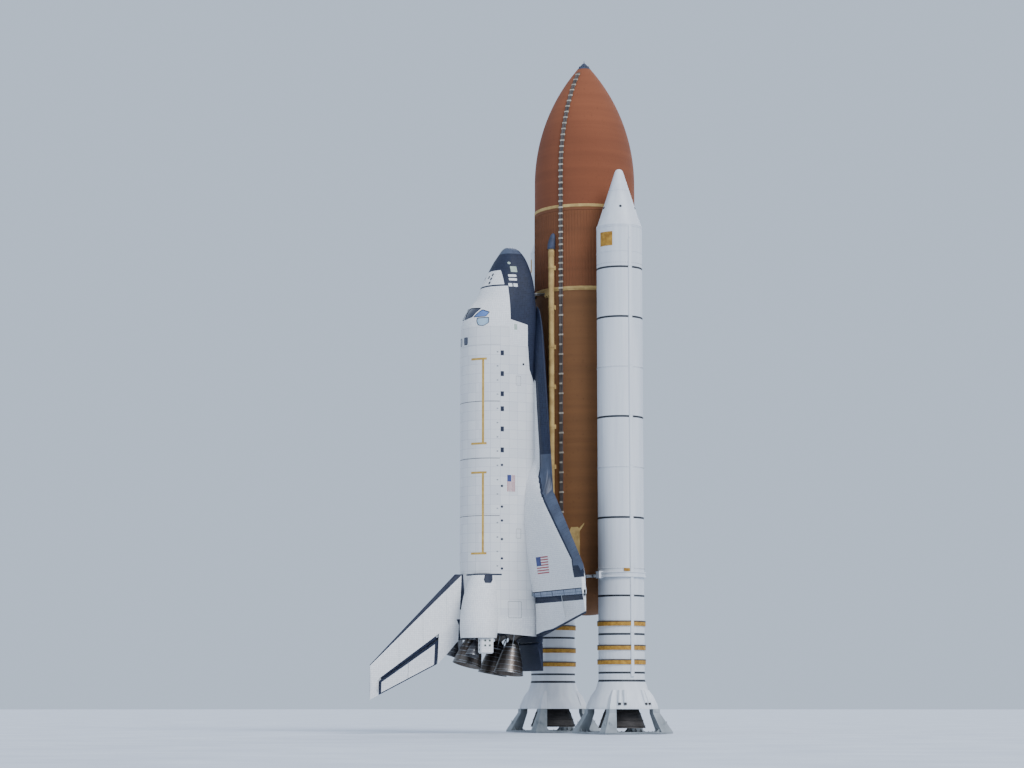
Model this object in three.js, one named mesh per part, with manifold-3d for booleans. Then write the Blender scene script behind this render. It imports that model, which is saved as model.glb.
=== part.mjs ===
// A space shuttle stack at half size: a winged orbiter, its external tank, two solid boosters and
// the supports that the boosters stand on, upright as it waits for launch.
//
// Sizes are the full-size vehicle's own stations, in inches. The root group turns them into
// millimetres at half scale. In the stack, +Z is up, +X is the orbiter's starboard side and -Y is
// the side that the orbiter's back faces. The orbiter has a group of its own, with x aft from its
// nose datum, y to starboard and z up from its belly, and so is built as if it lay level.

import * as THREE from "three";
import { mergeVertices } from "three/addons/utils/BufferGeometryUtils.js";
import Module from "manifold-3d";

const wasm = await Module();
wasm.setup();

// Scale and clearances
const millimetresPerInch = 25.4;
const modelScale = 1 / 2;
const seam = 0.04; // between fixed pieces that touch
const running = 0.5; // round a piece that moves
const pinFit = 0.06; // between a pin's corners and the flats of its bore, and at its ends

// Stations: tank stations run down from the nose, and the others are offset from them
const floorStation = 2550;
const orbiterDatum = 741; // tank station of orbiter station 0
const boosterDatum = 543; // tank station of booster station 0
const tankAxisHeight = 63.5; // orbiter height of the tank's axis

// External tank
const tankRadius = 165.5;
const tankTip = 322.5;
const tankCapEnd = 354;
const ogiveEnd = 747;
const ogiveRadius = 613;
const oxygenTankEnd = 852.8;
const intertankEnd = 1123.15;
const hydrogenBarrelEnd = 2058;
const hydrogenDomeDepth = 115;
const tankSides = 30;
const flangeProud = 1.2; // the intertank stands out by as much
const flangeSlope = 1.5;
const upperFlange = 11; // length on the oxygen tank
const lowerFlange = 5; // length on the hydrogen tank

// Boosters
const boosterOffset = 250.5;
const boosterRadius = 73;
const boosterSides = 20;
const nozzlePivot = 1845;
const skirtEnd = 1930.64;
const postOffset = 70;

// Orbiter
const noseCapEnd = 264;
const bayStart = 576;
const bayEnd = 1307;
const baseStation = 1508;
const baseTop = 1488; // the base leans forward at its top
const sillHeight = 418;
const doorThickness = 5;
const doorPivotOut = 0.7; // door pivot outside the skin at the sill
const bayRadius = 92;
const bayAxisHeight = 400;

// Wing
const wingHinge = 1387;
const wingRoot = 105;
const wingTip = 468.3;
const wingBottom = 272;
const dihedral = 0.0612;
const hingeThickRoot = 28;
const hingeThickTip = 11;
const elevonSplit = 312.5;

// Fin
const finRootHeight = 500;
const finTipHeight = 815.7;
const finRootEdge = 1279.8;
const finRootChord = 268.5;
const finChordTaper = 0.50685; // chord lost for each inch of height
const finHingeShare = 0.6;
const finHalfThickness = 0.0505; // of the chord
const rudderFoot = 587.5;
const rudderHead = 785;
const rudderFootGap = 2.3; // the panels dip as the rudder turns

// Turns a closed geometry into a solid whose faces point out.
function solidOf(geometry) {
  const plain = geometry.index ? geometry.toNonIndexed() : geometry.clone();
  plain.deleteAttribute("normal");
  plain.deleteAttribute("uv");
  const merged = mergeVertices(plain, 1e-4);
  const make = (triVerts) =>
    new wasm.Manifold(
      new wasm.Mesh({ numProp: 3, vertProperties: merged.attributes.position.array, triVerts }),
    );
  const triangles = new Uint32Array(merged.index.array);
  const made = make(triangles);
  if (made.volume() > 0) return made;
  for (let i = 0; i < triangles.length; i += 3)
    [triangles[i + 1], triangles[i + 2]] = [triangles[i + 2], triangles[i + 1]];
  return make(triangles);
}

function geometryOf(solid) {
  const mesh = solid.getMesh();
  const geometry = new THREE.BufferGeometry();
  const points = new Float32Array(mesh.numVert * 3);
  for (let i = 0; i < mesh.numVert; i++)
    points.set(mesh.vertProperties.subarray(i * mesh.numProp, i * mesh.numProp + 3), i * 3);
  geometry.setAttribute("position", new THREE.BufferAttribute(points, 3));
  geometry.setIndex(new THREE.BufferAttribute(new Uint32Array(mesh.triVerts), 1));
  geometry.computeVertexNormals();
  return geometry;
}

// A solid of revolution round Z, from [height, radius] points; a closed loop makes a ring.
function turned(profile, sides, closed = false) {
  const points = profile.map(([height, radius]) => new THREE.Vector2(radius, height));
  if (closed) points.push(points[0].clone());
  return solidOf(new THREE.LatheGeometry(points, sides).rotateX(Math.PI / 2));
}

// A solid through rings of equally many points, with flat ends.
function lofted(rings) {
  const count = rings[0].length;
  const positions = rings.flat(2);
  const index = [];
  for (let r = 0; r + 1 < rings.length; r++)
    for (let i = 0; i < count; i++) {
      const a = r * count + i;
      const b = r * count + ((i + 1) % count);
      index.push(a, b, a + count, b, b + count, a + count);
    }
  for (const [ring, first] of [
    [rings[0], 0],
    [rings.at(-1), (rings.length - 1) * count],
  ]) {
    const centre = positions.length / 3;
    for (let k = 0; k < 3; k++) positions.push(ring.reduce((s, p) => s + p[k], 0) / count);
    for (let i = 0; i < count; i++) {
      const pair = [first + i, first + ((i + 1) % count)];
      if (first === 0) pair.reverse();
      index.push(pair[0], pair[1], centre);
    }
  }
  const geometry = new THREE.BufferGeometry();
  geometry.setAttribute("position", new THREE.Float32BufferAttribute(positions, 3));
  geometry.setIndex(index);
  return solidOf(geometry);
}

// An outline in the plane of two axes, pushed along the third from one place to another.
function pushed(outline, axis, from, to) {
  const shape = new THREE.Shape(outline.map(([a, b]) => new THREE.Vector2(a, b)));
  const geometry = new THREE.ExtrudeGeometry(shape, { depth: to - from, bevelEnabled: false });
  geometry.translate(0, 0, from);
  const turns = {
    x: new THREE.Matrix4().makeBasis(
      new THREE.Vector3(0, 1, 0), new THREE.Vector3(0, 0, 1), new THREE.Vector3(1, 0, 0)),
    y: new THREE.Matrix4().makeBasis(
      new THREE.Vector3(1, 0, 0), new THREE.Vector3(0, 0, 1), new THREE.Vector3(0, 1, 0)),
    z: new THREE.Matrix4(),
  };
  return solidOf(geometry.applyMatrix4(turns[axis]));
}

function box(low, high) {
  const size = high.map((v, k) => v - low[k]);
  const geometry = new THREE.BoxGeometry(...size);
  geometry.translate(...low.map((v, k) => v + size[k] / 2));
  return solidOf(geometry);
}

// A round bar or cone between two points.
function bar(from, to, radius, endRadius = radius, sides = 12) {
  const a = new THREE.Vector3(...from);
  const b = new THREE.Vector3(...to);
  const geometry = new THREE.CylinderGeometry(endRadius, radius, a.distanceTo(b), sides);
  const along = b.clone().sub(a).normalize();
  geometry.applyQuaternion(
    new THREE.Quaternion().setFromUnitVectors(new THREE.Vector3(0, 1, 0), along));
  geometry.translate(...a.add(b).multiplyScalar(0.5).toArray());
  return solidOf(geometry);
}

// A hole for a round bar of that radius: its flats, not its corners, lie that far out.
function bore(from, to, radius, endRadius = radius, sides = 12) {
  const share = 1 / Math.cos(Math.PI / sides);
  return bar(from, to, radius * share, endRadius * share, sides);
}

// A turned shape whose axis starts at a point and runs along a direction.
function aimed(profile, sides, from, along, closed = false) {
  const points = profile.map(([height, radius]) => new THREE.Vector2(radius, height));
  if (closed) points.push(points[0].clone());
  const geometry = new THREE.LatheGeometry(points, sides);
  geometry.applyQuaternion(
    new THREE.Quaternion().setFromUnitVectors(
      new THREE.Vector3(0, 1, 0), new THREE.Vector3(...along).normalize()));
  geometry.translate(...from);
  return solidOf(geometry);
}

function mirrored(solid) {
  return solidOf(geometryOf(solid).scale(1, -1, 1));
}

function moved(solid, shift) {
  return solidOf(geometryOf(solid).translate(...shift));
}

const finishes = {
  white_blanket: ["#e9e8e4", 0.85, 0],
  black_tile: ["#1b1d22", 0.75, 0],
  carbon_edge: ["#3d4452", 0.6, 0.1],
  orange_foam: ["#9a5a31", 0.95, 0],
  tan_foam: ["#b39a64", 0.9, 0],
  white_paint: ["#e6e7e6", 0.5, 0],
  nozzle_metal: ["#6a6460", 0.45, 0.8],
  dark_glass: ["#10161f", 0.15, 0],
  grey_steel: ["#8b9094", 0.6, 0.5],
  dark_cone: ["#2a2c33", 0.6, 0.2],
};

function piece(name, solid, finish) {
  const [color, roughness, metalness] = finishes[finish];
  const material = new THREE.MeshStandardMaterial({ color, roughness, metalness });
  const mesh = new THREE.Mesh(geometryOf(solid), material);
  mesh.name = name;
  return mesh;
}

// The orbiter's hull

// Columns: station, half width, height of the top, of the widest line, and of the belly
const hullTable = [
  [238, 6, 345, 339, 333],
  [242, 16, 355, 339, 322],
  [250, 26, 364, 339, 312],
  [264, 37, 373, 339, 303],
  [290, 52, 390, 340, 292],
  [330, 70, 411, 343, 283],
  [368, 83, 430, 350, 278],
  [418, 94, 452, 360, 276],
  [445, 98, 474, 368, 275],
  [476, 101, 494, 377, 274],
  [510, 103, 500, 386, 273],
  [545, 104, 502, 393, 272],
  [576, 104, 502, 398, 271],
  [1307, 104, 502, 398, 271],
  [1400, 108, 500, 398, 271],
  [1508, 114, 496, 398, 272],
];
const hullPoints = 24;
const bellySquareness = 6;

function hullAt(station) {
  const last = hullTable.length - 1;
  const i = Math.max(1, hullTable.findIndex(([x]) => x >= station));
  const [a, b] = station > hullTable[last][0] ? [hullTable[last], hullTable[last]]
    : [hullTable[i - 1], hullTable[i]];
  const t = a === b ? 0 : (station - a[0]) / (b[0] - a[0]);
  return a.map((v, k) => v + (b[k] - v) * t);
}

// A point of the skin at an angle up from the starboard side, moved out by grow.
function hullPoint(station, angle, grow = 0) {
  const [, width, top, middle, belly] = hullAt(station);
  const c = Math.cos(angle);
  const s = Math.sin(angle);
  if (s >= 0) return [station, (width + grow) * c, middle + (top - middle + grow) * s];
  const power = 2 / bellySquareness;
  const y = (width + grow) * Math.sign(c) * Math.abs(c) ** power;
  return [station, y, middle - (middle - belly + grow) * Math.abs(s) ** power];
}

function hullRing(station, grow = 0) {
  return Array.from({ length: hullPoints }, (_, i) =>
    hullPoint(station, (2 * Math.PI * i) / hullPoints, grow));
}

function hull(from, to, grow = 0) {
  const between = hullTable.map(([x]) => x).filter((x) => x > from && x < to);
  return lofted([from, ...between, to].map((x) => hullRing(x, grow)));
}

// A patch of the skin between two stations and two angles, from a depth inside to outside it.
function skinPatch([from, to], [low, high], inside, outside) {
  const steps = 2;
  const angles = Array.from({ length: steps + 1 }, (_, i) =>
    ((low + ((high - low) * i) / steps) * Math.PI) / 180);
  const inner = (x) => angles.map((a) => hullPoint(x, a, -inside));
  const outer = (x) => angles.map((a) => hullPoint(x, a, outside)).reverse();
  return lofted([from, to].map((x) => [...inner(x), ...outer(x)]));
}

// Forward fuselage

// Columns: first and last station, first and last angle up from the side, in degrees
const windowTable = [
  [446, 482, 74, 87],
  [448, 488, 55, 70],
  [456, 508, 33, 50],
];
const windowBand = [438, 512];
const windowBandFoot = 405; // height
const cabinWall = 6;
const hatchStation = 492;
const hatchHeight = 352;
const hatchRadius = 20;
const cabinFloor = 300;

function windowPatches(inside, outside, margin) {
  return windowTable.flatMap(([from, to, low, high]) => {
    const edge = (margin / 100) * (180 / Math.PI);
    const patch = skinPatch([from + margin, to - margin], [low + edge, high - edge], inside, outside);
    return [patch, mirrored(patch)];
  });
}

function cabinSpace() {
  return hull(430, 562, -cabinWall).intersect(box([400, -200, cabinFloor], [600, 200, 600]));
}

function forwardFuselage() {
  let body = hull(noseCapEnd + seam, bayStart - seam);
  body = body.subtract(cabinSpace());
  for (const patch of windowPatches(cabinWall + 5, 8, 0)) body = body.subtract(patch);
  const doorway = bar([hatchStation, -130, hatchHeight], [hatchStation, -80, hatchHeight],
    hatchRadius, hatchRadius, 24);
  const inside = hull(470, 520, -cabinWall / 2);
  return body.subtract(doorway).add(hatchLugs().subtract(inside));
}

// The panes stand on a band that lies against the inside of the cabin wall.
function windshield() {
  const [from, to] = windowBand;
  const band = hull(from, to, -(cabinWall + 0.3)).subtract(hull(from - 20, to + 20, -(cabinWall + 2.5)));
  let frame = band.intersect(box([from, -200, windowBandFoot], [to, 200, 600]));
  for (const patch of windowPatches(cabinWall + 1.5, -0.8, seam * 1.5)) frame = frame.add(patch);
  return frame;
}

const hatchPivot = [104.4, hatchHeight - hatchRadius - 2.5]; // distance to port, and height
const hatchPin = 1.1;
const hatchLug = [9.5, 13]; // from the hatch's middle, along the hull

function crewHatch() {
  const disc = bar([hatchStation, -130, hatchHeight], [hatchStation, -80, hatchHeight],
    hatchRadius - running, hatchRadius - running, 24);
  const shell = hull(450, 540).subtract(hull(440, 550, -(cabinWall - 1)));
  const [out, z] = hatchPivot;
  const reach = hatchLug[1] - 1;
  const pin = bar([hatchStation - reach, -out, z], [hatchStation + reach, -out, z], hatchPin, hatchPin, 10);
  const arm = box([hatchStation - 5, -out - 1.1, z - 1], [hatchStation + 5, -out + 1.1, z + 9])
    .add(box([hatchStation - 5, -out - 1, z + 4.5], [hatchStation + 5, -98, z + 9]));
  return disc.intersect(shell).add(pin).add(arm);
}

function hatchLugs() {
  const [out, z] = hatchPivot;
  const [from, to] = hatchLug;
  let lugs = null;
  for (const side of [-1, 1]) {
    const [low, high] = [side * from, side * to].sort((a, b) => a - b).map((d) => hatchStation + d);
    const lug = box([low, -out - 2.2, z - 2.6], [high, -98, z + 2.2]);
    lugs = lugs ? lugs.add(lug) : lug;
  }
  const reach = hatchLug[1] - 1 + seam;
  return lugs.subtract(
    bore([hatchStation - reach, -out, z], [hatchStation + reach, -out, z], hatchPin + pinFit, undefined, 10));
}

// Middle fuselage and its bay

function midFuselage() {
  const body = hull(bayStart, bayEnd - seam);
  const steps = 16;
  const trough = Array.from({ length: steps + 1 }, (_, i) => {
    const a = Math.PI + (Math.PI * i) / steps;
    return [bayRadius * Math.cos(a), bayAxisHeight + bayRadius * Math.sin(a)];
  });
  const space = pushed([...trough, [bayRadius, 600], [-bayRadius, 600]], "x", bayStart - 5, bayEnd + 5);
  const above = box([bayStart - 5, -150, sillHeight], [bayEnd + 5, 150, 600]);
  return body.subtract(space).subtract(above);
}

const [, bayHalfWidth, bayTop, bayMiddle] = hullAt(bayStart);
const sillAngle = Math.asin((sillHeight - bayMiddle) / (bayTop - bayMiddle));

function bayDoor() {
  const steps = 12;
  const arc = (grow) => Array.from({ length: steps + 1 }, (_, i) => {
    const a = sillAngle + ((Math.PI / 2 - sillAngle) * i) / steps;
    return [(bayHalfWidth + grow) * Math.cos(a), bayMiddle + (bayTop - bayMiddle + grow) * Math.sin(a)];
  });
  const shell = pushed([...arc(0), ...arc(-doorThickness).reverse()], "x",
    bayStart + running, bayEnd - running);
  const half = box([0, running / 2, sillHeight + seam], [2000, 200, 600]);
  return shell.intersect(half);
}

// Aft fuselage and engines

// Columns: name, pivot station, to starboard, height, pitch up and yaw out in degrees
const engineTable = [
  ["main_engine_upper", 1445, 0, 443, 16, 0],
  ["main_engine_left", 1468, -53, 342.6, 10, -3.5],
  ["main_engine_right", 1468, 53, 342.6, 10, 3.5],
];
const engineWell = 46;
const engineShield = 43.5;
const engineBoss = 9;
const bossHalf = 8;

function engineAxis(pitch, yaw) {
  const [p, w] = [pitch, yaw].map((d) => (d * Math.PI) / 180);
  return [Math.cos(p) * Math.cos(w), Math.sin(w), Math.sin(p) * Math.cos(w)];
}

const flapHinge = [1532, 281];
const flapNose = 9;
const flapHalfSpan = 110;
const flapRib = 3.5;
const flapPin = 3;
const flapPinReach = 2; // into each rib

function aftFuselage() {
  let body = hull(bayEnd + seam, baseStation);
  body = body.subtract(pushed([[baseTop, 520], [1600, 520], [1600, 260], [baseStation, 260]], "y", -200, 200));
  const shelfEnd = flapHinge[0] - flapNose - running;
  const ribOut = flapHalfSpan + running + flapRib;
  body = body.add(box([baseStation - 20, -ribOut, 273.5], [shelfEnd, ribOut, 289]));
  for (const side of [-1, 1]) {
    const ribIn = flapHalfSpan + running;
    const [low, high] = [side * ribIn, side * ribOut].sort((a, b) => a - b);
    const [x, z] = flapHinge;
    body = body.add(box([baseStation, low, z - 6], [x, high, z + 6]));
    body = body.add(bar([x, low, z], [x, high, z], 6, 6, 16));
    body = body.subtract(bore([x, side * (ribIn - 1), z], [x, side * (ribIn + flapPinReach + seam), z],
      flapPin + pinFit, undefined, 10));
  }
  for (const [, x, y, z] of engineTable) {
    body = body.subtract(bore([x, y, z], [x + 100, y, z], engineWell, undefined, 20));
    const half = bossHalf + seam;
    body = body.subtract(bore([x, y - half, z], [x, y + half, z], engineBoss + pinFit, undefined, 16));
  }
  return body;
}

// A bell's outside line, with stiffening bands at some distances from its pivot.
function banded(line, distances, half, proud) {
  const radiusAt = (distance) => {
    const i = line.findIndex(([d]) => d >= distance);
    const [[d0, r0], [d1, r1]] = [line[i - 1], line[i]];
    return r0 + ((r1 - r0) * (distance - d0)) / (d1 - d0);
  };
  const bands = distances.flatMap((d) => [
    [d - half, radiusAt(d - half)], [d, radiusAt(d) + proud], [d + half, radiusAt(d + half)],
  ]);
  return [...line, ...bands].sort(([a], [b]) => a - b);
}

// Distance from the pivot, and radius; the bell is hollow from its lip to its throat.
const engineBell = [[50, 11], [62, 19.5], [84, 28], [118, 38.2], [156.9, 47]];
const engineProfile = [
  [2, 0], [2, 6], [14, 6], [20, 38.6], [30, 31.5], [44, 15],
  ...banded(engineBell, [73, 101, 129, 145], 1.5, 0.9), [157, 45.2],
  [118, 36], [84, 26], [62, 17], [55, 0],
];

function mainEngine([, x, y, z, pitch, yaw]) {
  const bell = aimed(engineProfile, 18, [x, y, z], engineAxis(pitch, yaw));
  return bell.add(bar([x, y - bossHalf, z], [x, y + bossHalf, z], engineBoss, engineBoss, 16));
}

function bodyFlap() {
  const [x, z] = flapHinge;
  const arcSteps = 8;
  const nose = Array.from({ length: arcSteps + 1 }, (_, i) => {
    const a = Math.PI / 2 + (Math.PI * i) / arcSteps;
    return [x + flapNose * Math.cos(a), z + flapNose * Math.sin(a)];
  });
  let flap = pushed([...nose, [1613, 270], [1613, 273]], "y", -flapHalfSpan, flapHalfSpan);
  const reach = flapHalfSpan + running + flapPinReach;
  flap = flap.add(bar([x, -reach, z], [x, reach, z], flapPin, flapPin, 10));
  return flap;
}

// Manoeuvring pods, one on each shoulder of the aft fuselage

// Columns: station, centre to starboard, centre height, half width, half height
const podTable = [
  [1308, 60, 452, 36, 40],
  [1340, 64, 460, 45, 49],
  [1380, 69, 469, 52, 55],
  [1430, 75, 476, 58, 59],
  [1475, 80, 480, 61.5, 60],
  [1512, 82, 482, 60, 56],
];
const podPoints = 16;
const podPivot = [1512, 74, 488];
const podPitch = 15.8;
const podYaw = 6.5;
const podBoss = 5;
const podBossHalf = 6;
const thrusterBox = [[1490, 106, 452], [1560, 134, 496]];

function manoeuvringPod() {
  const rings = podTable.map(([x, y, z, a, b]) =>
    Array.from({ length: podPoints }, (_, i) => {
      const t = (2 * Math.PI * i) / podPoints;
      return [x, y + a * Math.cos(t), z + b * Math.sin(t)];
    }));
  const pod = lofted(rings).add(box(...thrusterBox));
  const [x, y, z] = podPivot;
  const half = podBossHalf + seam;
  return pod.subtract(bore([x, y - half, z], [x, y + half, z], podBoss + pinFit, undefined, 16));
}

const podEngineProfile = [
  [2, 0], [2, 3.5], [8, 3.5], [16, 7.5], [30, 14.6], [57, 21.5], [57, 20.6],
  [30, 13.4], [17, 6], [15, 0],
];

function podEngine() {
  const [x, y, z] = podPivot;
  const bell = aimed(podEngineProfile, 16, podPivot, engineAxis(podPitch, podYaw));
  return bell.add(bar([x, y - podBossHalf, z], [x, y + podBossHalf, z], podBoss, podBoss, 16));
}

// Wing, its carbon edge and its elevons

// Leading edge in plan, from the body out: distance to starboard and station
const wingEdge = [
  [80, 440], [100, 455], [112, 480], [125, 525], [207, 1043], [454, 1290], [462, 1304],
  [466, 1322], [wingTip, 1350],
];

function edgeStation(y) {
  const i = Math.min(wingEdge.length - 1, Math.max(1, wingEdge.findIndex(([v]) => v >= y)));
  const [[y0, x0], [y1, x1]] = [wingEdge[i - 1], wingEdge[i]];
  return x0 + ((x1 - x0) * (y - y0)) / (y1 - y0);
}

function hingeThickness(y) {
  const share = (y - wingRoot) / (wingTip - wingRoot);
  return hingeThickRoot + (hingeThickTip - hingeThickRoot) * share;
}

function bottomHeight(y) {
  return wingBottom + dihedral * (y - wingRoot);
}

function hingeHeight(y) {
  return bottomHeight(y) + hingeThickness(y) / 2;
}

function trailingStation(y) {
  return 1525.2 - 0.17733 * y;
}

// Thickness of a usual rounded wing section along its chord, 1 at its thickest
function sectionShape(s) {
  return 10 * (0.2969 * Math.sqrt(s) - 0.126 * s - 0.3516 * s ** 2 + 0.2843 * s ** 3 - 0.1015 * s ** 4);
}

function wingThickness(x, y) {
  const span = Math.max(y, wingRoot);
  const front = 836 + span;
  const chord = trailingStation(span) - front;
  const s = Math.min(1, Math.max(0, (x - front) / chord));
  const main = (hingeThickness(span) / sectionShape((wingHinge - front) / chord)) * sectionShape(s);
  const strake = y < 207 ? 24 * Math.sqrt(Math.min(1, (x - edgeStation(y)) / 140)) : 0;
  const strakeFade = y < 207 ? Math.min(1, (215 - y) / 60) : 0;
  const noseRound = Math.min(1, Math.sqrt(Math.max(0, x - edgeStation(y)) / 24));
  return Math.max(main * noseRound, strake * strakeFade, 2.4 * noseRound);
}

function wingBlank() {
  const spans = [80, 100, 112, 125, 165, 207, 260, elevonSplit, 454, 462, 466, wingTip];
  const ring = (y) => {
    const edge = edgeStation(y);
    const rest = wingHinge - edge - 16;
    const stations = [
      ...[1, 5, 16].map((d) => edge + d),
      ...[0.15, 0.4, 0.7, 1].map((u) => edge + 16 + rest * u),
      trailingStation(y) - 40 * (1 - y / 600),
      trailingStation(y),
    ];
    const lift = (x) => 5 * Math.max(0, 1 - (x - edge) / 30) ** 2;
    const under = stations.map((x) => [x, y, bottomHeight(y) + lift(x)]);
    const over = stations.map((x) => [x, y, bottomHeight(y) + lift(x) + wingThickness(x, y)]);
    return [[edge, y, bottomHeight(y) + 5.6], ...over, ...under.reverse()];
  };
  return lofted(spans.map(ring));
}

// The hinge line is straight: its points at a distance to starboard.
function hingePoint(y) {
  return [wingHinge, y, hingeHeight(y)];
}

const coveShare = 0.36; // of the half thickness, cut back from the hinge line
const elevonPin = 2.5;
const pinReach = 1; // into each rib
const ribThickness = 3;
const elevonTable = [
  ["inboard", wingRoot + 10, elevonSplit - 1.25 - running, 2],
  ["outboard", elevonSplit + 1.25 + running, wingTip - ribThickness - running, 2],
];
const hingeRibs = [
  [wingRoot + 10 - running - ribThickness, wingRoot + 10 - running],
  [elevonSplit - 1.25, elevonSplit + 1.25],
  [wingTip - ribThickness, wingTip],
];
const carbonStart = 930;
const carbonDepth = 15;
const carbonEnd = 456;

// The strip of plan that the carbon leading edge covers, moved back by grow.
function carbonStrip(grow) {
  const depth = carbonDepth + grow;
  const back = depth * Math.SQRT2;
  const slope = (1043 - 525) / (207 - 125);
  const strakeY = (x) => 207 - (1043 - x) / slope - depth * Math.hypot(1, 1 / slope);
  const kink = (836 + back + 207 - 1043 / slope - depth * Math.hypot(1, 1 / slope)) / (1 - 1 / slope);
  const start = carbonStart - grow;
  return pushed([
    [start, strakeY(start)], [kink, kink - 836 - back], [836 + back + carbonEnd + grow, carbonEnd + grow],
    [1290, 475], [start, 300],
  ], "z", 200, 400);
}

function wing(blank) {
  const cut = (y) => wingHinge - coveShare * (hingeThickness(y) / 2) - 0.6;
  let body = blank.subtract(pushed([
    [cut(70), 70], [1600, 70], [1600, 480], [cut(480), 480],
  ], "z", 200, 400));
  body = body.subtract(hingeCone(70, 480, running, bore));
  for (const [from, to] of hingeRibs) {
    const middle = (from + to) / 2;
    const reach = 0.72 * (hingeThickness(middle) / 2);
    const z = hingeHeight(middle);
    body = body.add(box([wingHinge - 16, from, z - reach], [wingHinge, to, z + reach]));
    body = body.add(bar([wingHinge, from, z], [wingHinge, to, z], reach, reach, 16));
    for (const [a, b] of [[from - 1, from + pinReach + seam], [to - pinReach - seam, to + 1]]) {
      body = body.subtract(bore(hingePoint(a), hingePoint(b), elevonPin + pinFit, undefined, 10));
    }
  }
  return body.subtract(carbonStrip(seam));
}

function hingeCone(from, to, grow, shape = bar) {
  return shape(hingePoint(from), hingePoint(to), hingeThickness(from) / 2 - 0.3 + grow,
    hingeThickness(to) / 2 - 0.3 + grow, 20);
}

function elevon(blank, [, from, to]) {
  const flap = blank.intersect(box([wingHinge, from, 200], [1600, to, 400]));
  const nose = hingeCone(from - 2, to + 2, 0).intersect(box([1300, from, 200], [1500, to, 400]));
  const reach = running + pinReach;
  const pin = bar(hingePoint(from - reach), hingePoint(to + reach), elevonPin, elevonPin, 10);
  return flap.add(nose).add(pin);
}

// Fin and rudder

function finChord(z) {
  return finRootChord - finChordTaper * (z - finRootHeight);
}

function finRing(z) {
  const chord = finChord(z);
  const edge = finRootEdge + (z - finRootHeight);
  const half = finHalfThickness * chord;
  const side = [
    [edge, 0.5], [edge + 4, 2.4], [edge + 0.28 * chord, 0.72 * half], [edge + finHingeShare * chord, half],
    [edge + chord, 1.1],
  ];
  return [...side, ...side.map(([x, y]) => [x, -y]).reverse()].map(([x, y]) => [x, y, z]);
}

function rudderHingeStation(z) {
  return finRootEdge + (z - finRootHeight) + finHingeShare * finChord(z);
}

function rudderHalf(z) {
  return finHalfThickness * finChord(z);
}

const rudderSlope = 1 - finHingeShare * finChordTaper; // stations aft for each inch up
const rudderLean = Math.atan(rudderSlope);
const rudderAxis = [Math.sin(rudderLean), 0, Math.cos(rudderLean)];
const shaftShare = 0.92; // of the half thickness
const headGap = 3;
const shaftPin = 3;
const rudderSides = 16;

function rudderPoint(z) {
  return [rudderHingeStation(z), 0, z];
}

// A cone on the rudder's hinge line, as wide as a share of the fin's half thickness.
function rudderCone(from, to, share, grow = 0, shape = bar) {
  return shape(rudderPoint(from), rudderPoint(to), share * rudderHalf(from) + grow,
    share * rudderHalf(to) + grow, rudderSides);
}

// The side view behind a line that is a share of the half thickness from the hinge line.
function behindHinge(share, foot, head) {
  const at = (z) => rudderHingeStation(z) + (share * rudderHalf(z)) / Math.cos(rudderLean);
  return pushed([[at(foot), foot], [1800, foot], [1800, head], [at(head), head]], "y", -60, 60);
}

function finBlank() {
  return lofted([470, finRootHeight, rudderFoot, 700, rudderHead, finTipHeight - 5, finTipHeight].map(finRing));
}

const shaftFoot = rudderFoot + 9;
const shaftHead = rudderHead - 5;

// The fin's foot is clear of the bay doors, and its rear of the upper engine at its highest.
const finRearCut = [[1486, 490], [1560, 556], [1620, 612], [1700, 612], [1700, 440], [1486, 440]];

function verticalFin(blank) {
  let fin = blank.subtract(box([1200, -60, 440], [bayEnd + 1, 60, 560]))
    .subtract(pushed(finRearCut, "y", -60, 60)).subtract(behindHinge(-0.38, rudderFoot, rudderHead + headGap));
  fin = fin.subtract(rudderCone(rudderFoot - 0.1, rudderHead + headGap, shaftShare, running, bore));
  fin = fin.add(rudderBearing(shaftFoot - 14, shaftFoot - seam));
  fin = fin.add(rudderBearing(shaftHead + seam, shaftHead + 14));
  fin = fin.subtract(bore(rudderPoint(shaftFoot - 5 - seam), rudderPoint(shaftHead + 5 + seam),
    shaftPin + pinFit, undefined, 10));
  return fin.subtract(hull(1200, baseStation + 200, seam));
}

// The blocks at the foot and head of the opening carry the shaft's pins.
function rudderBearing(from, to) {
  return rudderCone(from, to, shaftShare * 0.6);
}

// Heights of the collars by which each rudder panel turns on the shaft
const collars = { left: [625, 725], right: [660, 752] };
const collarHalf = 4;
const neckShare = 0.5; // the shaft's radius inside a collar, as a share

function rudderShaft() {
  let shaft = rudderCone(shaftFoot, shaftHead, shaftShare);
  for (const z of Object.values(collars).flat()) {
    const [low, high] = [z - collarHalf - seam, z + collarHalf + seam];
    shaft = shaft.subtract(rudderCone(low, high, 2).subtract(rudderCone(low - 1, high + 1, neckShare)));
  }
  return shaft.add(bar(rudderPoint(shaftFoot - 5), rudderPoint(shaftHead + 5), shaftPin, shaftPin, 10));
}

function rudderPanel(blank, side, heights) {
  const body = blank.intersect(behindHinge(1, rudderFoot + rudderFootGap, rudderHead));
  let panel = body.intersect(box([1400, running / 2, 500], [1800, 60, 900]));
  for (const z of heights) {
    const [low, high] = [z - collarHalf, z + collarHalf];
    const ring = rudderCone(low, high, 0.86)
      .subtract(rudderCone(low - 1, high + 1, neckShare, pinFit, bore));
    const half = rudderHalf(z);
    const [x] = rudderPoint(z);
    const corner = (aft, up) => [
      x + aft * half * Math.cos(rudderLean) + up * Math.sin(rudderLean),
      z - aft * half * Math.sin(rudderLean) + up * Math.cos(rudderLean),
    ];
    const outline = [corner(0.66, -3.5), corner(1.5, -3.5), corner(1.5, 3.5), corner(0.66, 3.5)];
    panel = panel.add(ring).add(pushed(outline, "y", running / 2 + 0.1, 0.5 * half));
  }
  return side > 0 ? panel : mirrored(panel);
}

// Tank

const height = (station) => floorStation - station;

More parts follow.
